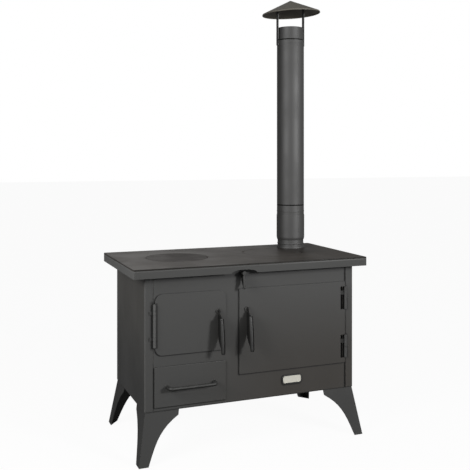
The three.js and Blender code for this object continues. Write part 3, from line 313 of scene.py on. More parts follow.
def shader_group(name, inputs, outputs):
    """A node group whose inputs take their kind from their defaults: its tree, its inputs and outputs."""
    kinds = {4: "NodeSocketColor", 3: "NodeSocketVector"}
    group = bpy.data.node_groups.new(name, "ShaderNodeTree")
    for label, default in inputs.items():
        kind = kinds[len(default)] if isinstance(default, tuple) else "NodeSocketFloat"
        group.interface.new_socket(name=label, in_out="INPUT", socket_type=kind).default_value = default
    for label in outputs:
        kind = "NodeSocketColor" if label == "Color" else "NodeSocketFloat"
        group.interface.new_socket(name=label, in_out="OUTPUT", socket_type=kind)
    return group, group.nodes.new("NodeGroupInput").outputs, group.nodes.new("NodeGroupOutput").inputs


def add_group(tree, group, coordinates, **values):
    node = tree.nodes.new("ShaderNodeGroup")
    node.node_tree = group
    tree.links.new(coordinates, node.inputs["Vector"])
    for label, value in values.items():
        link(tree, value, node.inputs[label.replace("_", " ")])
    return node.outputs


@cache
def tone_group():
    """Broad soft change of tone, as heat, handling and dust leave it."""
    group, given, result = shader_group(
        "Broad tone",
        {"Vector": (0, 0, 0), "Color": (0.1, 0.1, 0.1, 1), "Shade": (0.05, 0.05, 0.05, 1), "Scale": 4.0,
         "Amount": 0.5, "Roughness": 0.5},
        ("Color", "Roughness"))
    mask = fade(group, noise(group, given["Vector"], given["Scale"], detail=4.0), (0.35, 0.7))
    weight = math_node(group, "MULTIPLY", mask, given["Amount"])
    link(group, mix_color(group, weight, given["Color"], given["Shade"]), result["Color"])
    shift = math_node(group, "MULTIPLY_ADD", mask, 0.1, -0.04)
    link(group, math_node(group, "ADD", given["Roughness"], shift), result["Roughness"])
    return group


@cache
def skin_group():
    """Fine height of a painted or ground skin: a small orange peel and long rolling marks."""
    group, given, result = shader_group(
        "Skin height", {"Vector": (0, 0, 0), "Grain Scale": 500.0, "Rolling": 0.3}, ("Height",))
    grain = noise(group, given["Vector"], given["Grain Scale"], detail=2.0)
    marks = noise(group, given["Vector"], scale=60.0, detail=4.0, stretch=(0.12, 6, 6))
    rolled = math_node(group, "MULTIPLY", marks, given["Rolling"])
    link(group, math_node(group, "ADD", grain, rolled), result["Height"])
    return group


@cache
def speck_group():
    """Small scattered specks, as soot, ash or grit."""
    group, given, result = shader_group(
        "Specks",
        {"Vector": (0, 0, 0), "Color": (0.1, 0.1, 0.1, 1), "Speck": (0.3, 0.3, 0.3, 1), "Scale": 180.0,
         "Amount": 0.2},
        ("Color", "Mask"))
    mask = fade(group, noise(group, given["Vector"], given["Scale"], detail=6.0), (0.6, 0.7))
    weight = math_node(group, "MULTIPLY", mask, given["Amount"])
    link(group, mix_color(group, weight, given["Color"], given["Speck"]), result["Color"])
    link(group, mask, result["Mask"])
    return group


@cache
def outline_group():
    """Distance from a rounded rectangle that is drawn in X and Z, positive outside it."""
    group, given, result = shader_group(
        "Outline distance",
        {"Vector": (0, 0, 0), "Centre": (0, 0, 0), "Half": (0.1, 0, 0.1), "Corner": 0.01},
        ("Distance",))
    offset = vector_node(group, "SUBTRACT", given["Vector"], given["Centre"])
    across, _, upward = axes(group, vector_node(
        group, "SUBTRACT", vector_node(group, "ABSOLUTE", offset), given["Half"]))
    squares = [math_node(group, "POWER", math_node(group, "MAXIMUM", side, 0.0), 2.0)
               for side in (across, upward)]
    outside = math_node(group, "SQRT", math_node(group, "ADD", *squares))
    inside = math_node(group, "MINIMUM", math_node(group, "MAXIMUM", across, upward), 0.0)
    from_middle = math_node(group, "ADD", outside, inside)
    link(group, math_node(group, "SUBTRACT", from_middle, given["Corner"]), result["Distance"])
    return group


# Finishes

def bare_finish(name, metallic, specular):
    """A new material: itself, its tree, its shader and its Object coordinates."""
    material = bpy.data.materials.new(name)
    material.use_nodes = True
    tree = material.node_tree
    tree.nodes.clear()
    output = tree.nodes.new("ShaderNodeOutputMaterial")
    shader = tree.nodes.new("ShaderNodeBsdfPrincipled")
    tree.links.new(shader.outputs["BSDF"], output.inputs["Surface"])
    shader.inputs["Metallic"].default_value = metallic
    shader.inputs["Specular IOR Level"].default_value = specular
    coordinates = tree.nodes.new("ShaderNodeTexCoord").outputs["Object"]
    return material, tree, shader, coordinates


def add_tone(tree, shader, coordinates, color, shade, scale, amount, roughness):
    """Sets the roughness of a finish and gives its clouded colour."""
    tone = add_group(tree, tone_group(), coordinates, Color=rgba(color), Shade=rgba(color, shade),
                     Scale=scale, Amount=amount, Roughness=roughness)
    tree.links.new(tone["Roughness"], shader.inputs["Roughness"])
    return tone["Color"]


def add_bump(tree, shader, height, strength, distance):
    node = tree.nodes.new("ShaderNodeBump")
    node.inputs["Strength"].default_value = strength
    node.inputs["Distance"].default_value = distance
    tree.links.new(height, node.inputs["Height"])
    tree.links.new(node.outputs["Normal"], shader.inputs["Normal"])


def skin_height(tree, coordinates, grain, rolling):
    return add_group(tree, skin_group(), coordinates, Grain_Scale=grain, Rolling=rolling)["Height"]


def coated(name, color, roughness, metallic=0.0, shade=0.8, tone_scale=3.5, amount=0.6, grain=420.0,
           rolling=0.2, strength=0.12, distance=0.4 * MM, speck=None, specular=0.5, shaded_side=None):
    """A skin of paint, enamel or ground metal over sheet."""
    material, tree, shader, coordinates = bare_finish(name, metallic, specular)
    finished = add_tone(tree, shader, coordinates, color, shade, tone_scale, amount, roughness)
    if speck:
        finished = add_group(tree, speck_group(), coordinates, Color=finished, Speck=rgba(color, speck),
                             Scale=SPECK_SCALE, Amount=SPECK_AMOUNT)["Color"]
    # Painted shade, darker and duller, on the side of a rod that faces the given direction
    if shaded_side:
        normal = tree.nodes.new("ShaderNodeTexCoord").outputs["Normal"]
        painted_shade = fade(tree, vector_node(tree, "DOT_PRODUCT", normal, shaded_side), ROD_SHADE)
        finished = mix_color(tree, painted_shade, finished, rgba(color, ROD_SHADE_GAIN))
        shine = math_node(tree, "MULTIPLY_ADD", painted_shade, (ROD_SHADE_SHINE - 1) * specular, specular)
        tree.links.new(shine, shader.inputs["Specular IOR Level"])
    tree.links.new(finished, shader.inputs["Base Color"])
    add_bump(tree, shader, skin_height(tree, coordinates, grain, rolling), strength, distance)
    return material


# Paint of body, doors and legs

def finish_settings():
    return bpy.context.scene.stove_finish


@cache
def leg_paint():
    """Stove paint painted darker on the legs, as painted shade."""
    leg_shade_color = [channel * LEG_SHADE_GAIN for channel in finish_settings().body_color]
    return coated("leg_paint", leg_shade_color, 0.55, amount=0.7, specular=0.3)


def paint_base(name):
    """Stove paint, warmer low at the front right: material, tree, shader, coordinates and colour so far."""
    finish = finish_settings()
    material, tree, shader, coordinates = bare_finish(name, metallic=0.0, specular=0.4)
    tone = add_tone(tree, shader, coordinates, finish.body_color, shade=0.86, scale=3.5, amount=0.7,
                    roughness=finish.body_roughness)
    skin = skin_height(tree, coordinates, grain=420.0, rolling=0.2)
    add_bump(tree, shader, skin, strength=0.12, distance=0.4 * MM)
    across, _, height = axes(tree, coordinates)
    warmth = multiplied(tree, fade(tree, across, WARM_ACROSS), fade(tree, height, WARM_HEIGHT))
    warm = [channel * gain for channel, gain in zip(finish.body_color, WARM_GAINS)]
    return material, tree, shader, coordinates, mix_color(tree, warmth, tone, rgba(warm))


@cache
def stove_paint():
    material, tree, shader, _, color = paint_base("stove_paint")
    tree.links.new(color, shader.inputs["Base Color"])
    return material


def door_outline(node):
    """Centre, half size without the corners, and corner radius of an upright plate."""
    top = [v.co.x for v in frame["nodes"][node].data.vertices if v.co.z > high(node).z - NEAR]
    corner = high(node).x - max(top)
    left = min(top) - corner
    centre = Vector(((left + high(node).x) / 2, 0, middle(node).z))
    half = Vector(((high(node).x - left) / 2 - corner, THROUGH, (high(node).z - low(node).z) / 2 - corner))
    return centre, half, corner


def barrel_outline(*nodes):
    """The same of an upright hinge barrel, given the nodes that make it up."""
    bottom, top = min(low(node).z for node in nodes), max(high(node).z for node in nodes)
    axis = middle(nodes[0]).x if len(nodes) == 1 else low(nodes[0]).x + HINGE_RADIUS
    return Vector((axis, 0, (bottom + top) / 2)), Vector((HINGE_RADIUS, THROUGH, (top - bottom) / 2)), 0.0


def joint_shadow_outlines():
    """Centre, half size, corner radius and reach of the painted shadow line round everything on the front
    panel.
    """
    marks = []
    for node in ("firebox_door", "oven_door", "ash_drawer_front", "nameplate"):
        centre, half, corner = door_outline(node)
        marks.append((centre + LINE_SHADE_SIDE, half, corner, LINE_FADES[node]))
    marks.append((*barrel_outline("firebox_hinge_pin"), LINE_FADES["firebox_hinge"]))
    for level in ("lower", "upper"):
        barrel = barrel_outline(f"oven_hinge_seat_{level}", f"oven_hinge_knuckle_{level}")
        marks.append((*barrel, LINE_FADES["oven_hinge"]))
    return marks


def outline_distance(tree, coordinates, centre, half, corner):
    return add_group(tree, outline_group(), coordinates, Centre=centre, Half=half, Corner=corner)["Distance"]


def paint_side_shade(tree, color, across, height):
    """Both sides of the body, warmer than the front, with painted shade that darkens them towards the floor.
    """
    on_side = fade(tree, math_node(tree, "ABSOLUTE", across), SIDE_ZONE, high("right_side_panel").x)
    painted_side_shade = multiplied(tree, on_side, fade(tree, height, SIDE_PAINTED_SHADE), SIDE_SHADE_SHARE)
    color = mix_color(tree, on_side, color, SIDE_TINT, "MULTIPLY")
    return mix_color(tree, painted_side_shade, color, rgba(finish_settings().body_color, SIDE_SHADE_GAIN))


def paint_corner_highlights(tree, color, coordinates):
    """Painted highlight: a lighter line along the folded corners."""
    mirrored = vector_node(tree, "ABSOLUTE", vector_node(tree, "MULTIPLY", coordinates, (1, 1, 0)))
    away = distance_to(tree, mirrored, (high("right_side_panel").x, -low("front_panel").y, 0), (1, 1, 1))
    # The lighter colour here is the painted highlight
    worn = rgba(finish_settings().body_color, CORNER_HIGHLIGHT_GAIN)
    return mix_color(tree, fade(tree, away, CORNER_HIGHLIGHT), color, worn)


def paint_joint_shadows(tree, color, coordinates, depth):
    """Painted shadow lines round doors, drawer, hinges and along the open seam, and black painted shade
    behind the doors.
    """
    finish = finish_settings()
    lines, hidden = [], []
    for *outline, reach in joint_shadow_outlines():
        distance = outline_distance(tree, coordinates, *outline)
        lines.append(fade(tree, distance, (reach, LINE_CORE)))
        hidden.append(fade(tree, distance, BEHIND_DOORS))
    seam = Vector((high("front_panel").x, 0, middle("front_panel").z))
    distance = outline_distance(tree, coordinates, seam, Vector((SEAM_HALF, THROUGH, 1)), 0.0)
    lines.append(fade(tree, distance, (LINE_FADES["seam"], LINE_CORE)))
    at_front = fade(tree, depth, FRONT_ZONE, low("front_panel").y)
    line = multiplied(tree, combined(tree, "MAXIMUM", lines), finish.joint_shadow_depth, at_front)
    color = mix_color(tree, line, color, rgba(finish.body_color, JOINT_LINE_SHADOW_GAIN))
    # Black painted shade on the panel behind the doors, which shows through the hinge notches
    return mix_color(tree, multiplied(tree, combined(tree, "MAXIMUM", hidden), at_front), color, BLACK)


def paint_shade_bands(tree, color, height):
    """Painted shadow under the cooking plate, and painted shade along the body's bottom edge over the legs.
    """
    under_plate = fade(tree, height, SHADOW_UNDER_PLATE, low("cooktop").z)
    over_legs = fade(tree, height, SHADE_OVER_LEGS, low("front_panel").z)
    painted_shade = math_node(tree, "MAXIMUM", under_plate, over_legs)
    shadow_color = rgba(finish_settings().body_color, SHADE_BAND_GAIN)
    return mix_color(tree, multiplied(tree, painted_shade, SHADE_BAND_SHARE), color, shadow_color)


def paint_shade_inside(tree, color, across, depth):
    """Near-black painted shade on the faces that look into the stove, as seen through the open seam."""
    side = high("right_side_panel").x - INSIDE_SHADE_DEPTH
    from_side = math_node(tree, "SUBTRACT", side, math_node(tree, "ABSOLUTE", across))
    from_front = math_node(tree, "SUBTRACT", depth, low("front_panel").y + INSIDE_SHADE_DEPTH)
    from_rear = math_node(tree, "SUBTRACT", high("rear_panel").y - INSIDE_SHADE_DEPTH, depth)
    inside = combined(tree, "MINIMUM", (from_side, from_front, from_rear))
    return mix_color(tree, multiplied(tree, fade(tree, inside, INSIDE_SHADE_FADE), INSIDE_SHADE_SHARE), color, INSIDE_SHADE_COLOR)


@cache
def panel_paint():
    """Stove paint on the panels, with painted shade on the sides and inside, painted highlights on the
    corners and painted shadows along doors and hinges.
    """
    material, tree, shader, coordinates, color = paint_base("panel_paint")
    across, depth, height = axes(tree, coordinates)
    color = paint_side_shade(tree, color, across, height)
    color = paint_corner_highlights(tree, color, coordinates)
    color = paint_joint_shadows(tree, color, coordinates, depth)
    color = paint_shade_bands(tree, color, height)
    color = paint_shade_inside(tree, color, across, depth)
    tree.links.new(color, shader.inputs["Base Color"])
    return material


def barrel_paint(name, axis, half_height=1.0, dark_left=0.0, lightened=1.5):
    """Stove paint with an upright barrel painted lighter, a painted shadow in the crease round it and painted
    shade left of it.
    """
    finish = finish_settings()
    material, tree, shader, coordinates, color = paint_base(name)
    offset = vector_node(tree, "SUBTRACT", coordinates, axis)
    distance = vector_node(tree, "LENGTH", vector_node(tree, "MULTIPLY", offset, (1, 1, 0)))
    across, _, upward = axes(tree, offset)
    beside = fade(tree, math_node(tree, "ABSOLUTE", upward), BARREL_END, half_height)
    # Painted shadow in the crease round the barrel, and painted shade left of it
    crease_shadow = multiplied(tree, fade(tree, distance, BARREL_CREASE_SHADOW, HINGE_RADIUS), beside, finish.joint_shadow_depth)
    tongue = multiplied(tree, fade(tree, across, BARREL_TONGUE, -HINGE_RADIUS), dark_left)
    dark = math_node(tree, "MAXIMUM", crease_shadow, tongue)
    color = mix_color(tree, dark, color, rgba(finish.body_color, JOINT_LINE_SHADOW_GAIN))
    skin = fade(tree, distance, BARREL_SKIN, HINGE_RADIUS)
    color = mix_color(tree, skin, color, rgba(finish.body_color, lightened))
    tree.links.new(color, shader.inputs["Base Color"])
    return material


@cache
def firebox_door_paint():
    pin = "firebox_hinge_pin"
    return barrel_paint("firebox_door_paint", middle(pin), high(pin).z - middle(pin).z)


@cache
def firebox_hinge_paint():
    return barrel_paint("firebox_hinge_paint", middle("firebox_hinge_pin"), dark_left=0.4)


@cache
def oven_hinge_paint():
    axis = low("oven_hinge_seat_lower") + Vector((HINGE_RADIUS, HINGE_RADIUS, 0))
    return barrel_paint("oven_hinge_paint", axis, dark_left=0.8, lightened=1.1)


# Cooking plate and lids

def heat_rings(tree, color, coordinates):
    """Steel darkened in rings round the lids."""
    finish = finish_settings()
    for lid in ("lid_left", "lid_right"):
        away = distance_to(tree, coordinates, middle(lid), (1, 1, 0))
        heat = multiplied(tree, fade(tree, away, LID_HEAT), HEAT_SHARE)
        color = mix_color(tree, heat, color, rgba(finish.lid_color))
    return color


def paint_flue_reflection(tree, color, coordinates):
    """Painted reflection and shadow of the flue on the plate, round the flue and further in front of it."""
    away = distance_to(tree, coordinates, FLUE_AXIS + FLUE_REFLECTION_SHIFT, FLUE_REFLECTION_STRETCH)
    pipe_reflection = multiplied(tree, fade(tree, away, FLUE_REFLECTION), FLUE_REFLECTION_SHARE)
    return mix_color(tree, pipe_reflection, color, rgba(finish_settings().plate_color, FLUE_REFLECTION_GAIN))


def paint_apron(tree, color, coordinates):
    """Painted apron, its sides painted lighter than its front as painted light, with a painted highlight
    below its rolled edge and a dark line along the edge of the plate.
    """
    finish = finish_settings()
    across, depth, height = axes(tree, coordinates)
    from_side = math_node(tree, "SUBTRACT", high("cooktop").x, math_node(tree, "ABSOLUTE", across))
    from_front = math_node(tree, "SUBTRACT", depth, low("cooktop").y)
    at_front = fade(tree, math_node(tree, "SUBTRACT", from_side, from_front), APRON_CORNER)
    apron = fade(tree, height, APRON_TOP, PLATE_TOP)
    # The sides of the apron are painted lighter than its front: painted light
    lighter_side_paint, front_paint = (
        rgba(finish.body_color, gain) for gain in (APRON_SIDE_LIGHT_GAIN, APRON_FRONT_GAIN))
    painted = mix_color(tree, at_front, lighter_side_paint, front_paint)
    color = mix_color(tree, apron, color, painted)
    # Painted highlight below the rolled edge, stronger towards the right
    below_roll = fade(tree, height, APRON_HIGHLIGHT, PLATE_TOP)
    to_right = math_node(tree, "MULTIPLY_ADD", fade(tree, across, APRON_HIGHLIGHT_ACROSS), 0.55, 0.2)
    lightened = multiplied(tree, apron, below_roll, to_right)
    color = mix_color(tree, lightened, color, rgba(finish.body_color, APRON_HIGHLIGHT_GAIN))
    near_edge = fade(tree, math_node(tree, "MINIMUM", from_side, from_front), PLATE_LINE)
    line = math_node(tree, "SUBTRACT", near_edge, apron)
    line = multiplied(tree, line, math_node(tree, "MULTIPLY_ADD", at_front, 0.4, 0.5))
    return mix_color(tree, line, color, rgba(finish.plate_color, PLATE_LINE_GAIN))


@cache
def ground_plate():
    """Ground steel of the cooking plate, with its rolled and painted apron."""
    finish = finish_settings()
    material, tree, shader, coordinates = bare_finish("ground_plate", metallic=0.0, specular=0.2)
    color = add_tone(tree, shader, coordinates, finish.plate_color, shade=0.82, scale=5.0, amount=0.8,
                     roughness=finish.plate_roughness)
    color = heat_rings(tree, color, coordinates)
    color = paint_flue_reflection(tree, color, coordinates)
    color = paint_apron(tree, color, coordinates)
    tree.links.new(color, shader.inputs["Base Color"])
    height = axes(tree, coordinates)[2]
    rolled = multiplied(tree, fade(tree, height, ROLLED_EDGE, PLATE_TOP), -ROLLED_DEPTH)
    skin = skin_height(tree, coordinates, grain=700.0, rolling=0.7)
    relief = math_node(tree, "MULTIPLY_ADD", skin, PLATE_SKIN_HEIGHT, rolled)
    add_bump(tree, shader, relief, strength=1.0, distance=1.0)
    return material


@cache
def seasoned_iron():
    """Seasoned cast iron of the left lid, the rings under the lids and the grate."""
    return coated("seasoned_iron", finish_settings().lid_color, 0.5, shade=0.75, tone_scale=9.0, amount=0.8,
                  grain=260.0, rolling=0.0, strength=0.3, distance=0.8 * MM, speck=1.6, specular=0.12)


# Flue

@cache
def flue_enamel():
    """Enamel of the pipes, with a painted shadow in the joints where one pipe stands in the next."""
    finish = finish_settings()
    material, tree, shader, coordinates = bare_finish("flue_enamel", metallic=0.0, specular=1.0)
    color = add_tone(tree, shader, coordinates, finish.flue_color, shade=0.88, scale=5.0, amount=0.7,
                     roughness=finish.flue_roughness)
    height = axes(tree, coordinates)[2]
    bands = []
    for pipe in ("flue_pipe_upper", "flue_pipe_lower"):
        above = math_node(tree, "SUBTRACT", height, high(pipe).z)
        bands.append(multiplied(tree, fade(tree, above, PIPE_JOINT_SHADOW_START), fade(tree, above, PIPE_JOINT_SHADOW_END)))
    # Painted shadow in the flue's joints, darker and duller
    soot = combined(tree, "MAXIMUM", bands)
    color = mix_color(tree, soot, color, rgba(finish.flue_color, PIPE_JOINT_SHADOW_GAIN))
    tree.links.new(color, shader.inputs["Base Color"])
    unshaded = math_node(tree, "MULTIPLY_ADD", soot, -1.0, 1.0)
    tree.links.new(unshaded, shader.inputs["Specular IOR Level"])
    skin = skin_height(tree, coordinates, grain=350.0, rolling=0.1)
    add_bump(tree, shader, skin, strength=0.06, distance=0.4 * MM)
    return material


@cache
def cap_enamel():
    """Flue enamel painted lighter on the cowl; on its underside this lighter paint is painted light."""
    lighter_cowl = [channel * gain for channel, gain in zip(finish_settings().flue_color, LIGHTER_COWL_GAINS)]
    return coated("cap_enamel", lighter_cowl, 0.6, shade=0.85, tone_scale=5.0, amount=0.7, grain=350.0,
                  rolling=0.1, strength=0.06, specular=0.4)


# Handles and small parts

SMALL_STEEL = dict(shade=0.7, tone_scale=30.0, grain=800.0, strength=0.1)


def handle_shade(gain):
    return [channel * gain for channel in finish_settings().handle_color]


@cache
def dark_steel():
    return coated("dark_steel", handle_shade(1.0), 0.36, metallic=0.75, shade=0.7, tone_scale=40.0,
                  grain=900.0, rolling=0.4, strength=0.08, distance=0.2 * MM)


@cache
def blackened_steel():
    return coated("blackened_steel", handle_shade(0.28), 0.5, metallic=0.3, **SMALL_STEEL)


@cache
def handle_paint():
    """Blackened steel of the drawer's handle, with painted shade on its underside."""
    return coated("handle_paint", handle_shade(0.26), 0.5, metallic=0.2, shaded_side=(0.1, 0.3, -1),
                  **SMALL_STEEL)


@cache
def arm_steel():
    """Matt dark steel of the flat arms behind the grips."""
    return coated("arm_steel", handle_shade(0.1), 0.65, specular=0.15, **SMALL_STEEL)


@cache
def shade_black_steel():
    """Matt near-black steel of the door rims and the damper's arm: painted shade for the dark behind the
    doors and under the plate.
    """
    return coated("shade_black_steel", handle_shade(0.05), 0.7, specular=0.12, **SMALL_STEEL)


@cache
def grip_paint():
    """Dark paint of the grips, with painted shade on their right side."""
    return coated("grip_paint", handle_shade(0.14), 0.36, shade=0.8, tone_scale=30.0, grain=800.0,
                  strength=0.08, specular=0.6, shaded_side=(1, 0, -0.1))


@cache
def bare_steel():
    """Bare sheet steel inside the stove."""
    return coated("bare_steel", finish_settings().steel_color, 0.46, metallic=0.8, shade=0.6,
                  tone_scale=7.0, amount=0.8, grain=600.0, rolling=0.8, distance=0.3 * MM, speck=0.4)


@cache
def firebrick():
    return coated("firebrick", finish_settings().brick_color, 0.9, shade=0.62, tone_scale=14.0,
                  amount=0.75, grain=220.0, rolling=0.0, strength=0.6, distance=1.2 * MM, speck=0.45,
                  specular=0.2)


@cache
def pale_metal():
    """Metal of the plain plate under the oven door."""
    return coated("pale_metal", finish_settings().badge_color, 0.38, metallic=0.35, shade=0.88,
                  tone_scale=30.0, grain=700.0, rolling=0.9, strength=0.08)


FINISH_OF_SLOT = {
    "black_steel": stove_paint,
    "plate_steel": ground_plate,
    "cast_iron": seasoned_iron,
    "flue_steel": flue_enamel,
    "handle_steel": dark_steel,
    "inner_steel": bare_steel,
    "firebrick": firebrick,
    "plain_plate": pale_metal,
}


# Pieces

def close_piece(name, shell, material, body, *replaced, smooth_angle=35, slot=None):
    """Turns a bmesh into a finished piece that rides on its body."""
    mesh = bpy.data.meshes.new(name)
    shell.to_mesh(mesh)
    shell.free()
    mesh.shade_smooth()
    mesh.set_sharp_from_angle(angle=math.radians(smooth_angle))
    mesh.materials.append(material)
    piece = bpy.data.objects.new(name, mesh)
    bpy.context.scene.collection.objects.link(piece)
    weighted = piece.modifiers.new("Weighted Normal", "WEIGHTED_NORMAL")
    weighted.keep_sharp = True
    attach(piece, body)
    if replaced:
        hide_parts(*replaced)
        slot = slot or SLOT_OF[replaced[0]]
    return piece


def merged_copy(node):
    """The CAD node's mesh with its loose triangles joined and its flat faces whole."""
    shell = bmesh.new()
    shell.from_mesh(frame["nodes"][node].data)
    bmesh.ops.remove_doubles(shell, verts=shell.verts, dist=SAME_PLACE)
    flat = math.radians(0.5)
    bmesh.ops.dissolve_limit(
        shell, angle_limit=flat, verts=shell.verts, edges=shell.edges, use_dissolve_boundaries=False)
    return shell


def break_edges(shell, radius, segments=2, angle=40, wanted=None):
    """Rounds the sharp edges of a shell, as a file or a press leaves them."""
    sharp = [edge for edge in shell.edges
             if len(edge.link_faces) == 2 and edge.calc_face_angle(0) > math.radians(angle)
             and (wanted is None or wanted(edge))]
    bmesh.ops.bevel(
        shell, geom=sharp, offset=radius, offset_type="OFFSET", segments=segments, profile=0.5,
        affect="EDGES", clamp_overlap=True, material=-1)


def dress(node, radius, segments=2, material=None, smooth_angle=35):
    """A copy of a CAD node with broken edges, which stands for it."""
    shell = merged_copy(node)
    if radius:
        break_edges(shell, radius, segments)
    finish = material or FINISH_OF_SLOT[SLOT_OF[node]]()
    return close_piece(f"{node}_finished", shell, finish, BODY_OF[node], node, smooth_angle=smooth_angle)


def turned_shell(profile, axis, closed=True, steps=None):
    """Spins a profile of (radius, height) pairs, in millimetres, round an upright axis through a point."""
    shell = bmesh.new()
    points = [shell.verts.new((axis.x + r * MM, axis.y, axis.z + z * MM)) for r, z in profile]
    pairs = list(zip(points, points[1:])) + ([(points[-1], points[0])] if closed else [])
    edges = [shell.edges.new(pair) for pair in pairs]
    bmesh.ops.spin(
        shell, geom=points + edges, cent=axis, axis=(0, 0, 1), angle=2 * math.pi,
        steps=steps or bpy.context.scene.stove_shape.turned_steps, use_merge=True)
    bmesh.ops.remove_doubles(shell, verts=shell.verts, dist=SAME_PLACE)
    bmesh.ops.recalc_face_normals(shell, faces=shell.faces)
    return shell


def point_along(shell, origin, direction):
    """Turns a shell made round +Z at a point so that its axis runs along a direction."""
    turn = Vector((0, 0, 1)).rotation_difference(Vector(direction)).to_matrix()
    bmesh.ops.rotate(shell, verts=shell.verts, cent=origin, matrix=turn)


def bead(radius, level, height, depth, steps=6):
    """Points of a rolled bead that stands out of a pipe."""
    return [(radius + depth * math.sin(math.pi * i / steps), level + height * i / steps)
            for i in range(steps + 1)]


def bent_rod(name, path, radius, material, body, *replaced):
    """A round rod along a smooth path."""
    curve = bpy.data.curves.new(name, "CURVE")
    curve.dimensions = "3D"
    curve.bevel_depth = 1.0
    curve.bevel_resolution = 6
    curve.use_fill_caps = True
    spline = curve.splines.new("POLY")
    spline.points.add(len(path) - 1)
    for point, spot in zip(spline.points, path):
        point.co = (*spot, 1)
        point.radius = radius
    holder = bpy.data.objects.new(name, curve)
    bpy.context.scene.collection.objects.link(holder)
    mesh = bpy.data.meshes.new_from_object(holder)
    bpy.data.objects.remove(holder)
    bpy.data.curves.remove(curve)
    shell = bmesh.new()
    shell.from_mesh(mesh)
    bpy.data.meshes.remove(mesh)
    bmesh.ops.remove_doubles(shell, verts=shell.verts, dist=SAME_PLACE)
    bmesh.ops.recalc_face_normals(shell, faces=shell.faces)
    return close_piece(name, shell, material, body, *replaced)


def flat_arm(name, foot, outline, thickness, material, body, *replaced, slot=None):
    """A flat arm that stands off a face, its outline given as (reach, height) in millimetres."""
    shell = bmesh.new()
    left = foot.x - thickness / 2
    corners = [shell.verts.new((left, foot.y - reach * MM, foot.z + height * MM))
               for reach, height in outline]
    side = bmesh.ops.contextual_create(shell, geom=corners)["faces"]
    grown = bmesh.ops.extrude_face_region(shell, geom=side, use_keep_orig=True)
    moved = [item for item in grown["geom"] if isinstance(item, bmesh.types.BMVert)]
    bmesh.ops.translate(shell, verts=moved, vec=(thickness, 0, 0))
    bmesh.ops.recalc_face_normals(shell, faces=shell.faces)
    break_edges(shell, thickness * ARM_EDGE, 2, angle=60)
    return close_piece(name, shell, material, body, *replaced, slot=slot)


def rivet(name, origin, direction, radius, height, material, body, slot="black_steel"):
    """A low round head that stands on a face and is sunk a little into it."""
    across, tall, sunk, steps = radius / MM, height / MM, 0.2, 6
    turns = [math.pi / 2 * i / steps for i in range(steps)]
    dome = [(across * math.cos(turn), tall * math.sin(turn)) for turn in turns] + [(0, tall)]
    shell = turned_shell([(0, -sunk), (across, -sunk)] + dome, origin, steps=20)
    point_along(shell, origin, direction)
    return close_piece(name, shell, material, body, slot=slot)


class StovePart:
    """What every operator of the stove shares."""
    bl_options = {"REGISTER", "UNDO"}


class STOVE_OT_body(StovePart, bpy.types.Operator):
    """Fold and paint the body panels"""
    bl_idname = "stove.body"
    bl_label = "Body"

    def execute(self, context):
        radius = context.scene.stove_shape.sheet_edge
        for node in ("front_panel", "left_side_panel", "right_side_panel", "rear_panel"):
            dress(node, radius, material=panel_paint())
        dress("base_panel", radius)
        return {"FINISHED"}


class STOVE_OT_legs(StovePart, bpy.types.Operator):
    """Finish the splayed legs and bolt them to the base"""
    bl_idname = "stove.legs"
    bl_label = "Legs"
    # Distances from the body's side and from its front or rear, in millimetres
    bolt_places = ((34, 26), (60, 26), (26, 52))
    bolt_radius, bolt_height = 5 * MM, 3 * MM

    def execute(self, context):
        radius = context.scene.stove_shape.sheet_edge
        for node in ("leg_front_left", "leg_front_right", "leg_rear_left", "leg_rear_right"):
            dress(node, radius * LEG_EDGE, material=leg_paint())
            side = 1 if middle(node).x > 0 else -1
            rear = middle(node).y > 0
            flange_face = high(node).z - 3 * MM
            corner = Vector((
                side * high("right_side_panel").x,
                high("rear_panel").y if rear else low("front_panel").y,
                flange_face))
            for number, (from_side, from_end) in enumerate(self.bolt_places, start=1):
                spot = corner - Vector((side * from_side * MM, (1 if rear else -1) * from_end * MM, 0))
                rivet(f"{node}_bolt_{number}", spot, (0, 0, -1), self.bolt_radius, self.bolt_height,
                      stove_paint(), "stove")
        return {"FINISHED"}


class STOVE_OT_cooking_plate(StovePart, bpy.types.Operator):
    """Finish the cooking plate with its lids and their rings"""
    bl_idname = "stove.cooking_plate"
    bl_label = "Cooking plate"

    def execute(self, context):
        shape = context.scene.stove_shape
        shell = merged_copy("cooktop")
        centre, half = middle("cooktop"), (high("cooktop") - low("cooktop")) / 2
        margin, level = 9 * MM, PLATE_TOP - 0.5 * MM

        def on_outside(edge):
            offsets = [v.co - centre for v in edge.verts]
            near = all(abs(o.x) > half.x - margin or abs(o.y) > half.y - margin for o in offsets)
            return near and all(v.co.z > level for v in edge.verts)

        def elsewhere(edge):
            return not on_outside(edge)

        break_edges(shell, shape.plate_edge, 4, wanted=on_outside)
        break_edges(shell, shape.sheet_edge * PLATE_HOLE_EDGE, 1, angle=50, wanted=elsewhere)
        close_piece("cooktop_finished", shell, ground_plate(), BODY_OF["cooktop"], "cooktop")
        dress("lid_left", FINE_EDGE, 1)
        dress("lid_right", FINE_EDGE, 1, ground_plate())
        for node in ("lid_ring_left", "lid_ring_right"):
            dress(node, FINE_EDGE, 1)
        return {"FINISHED"}


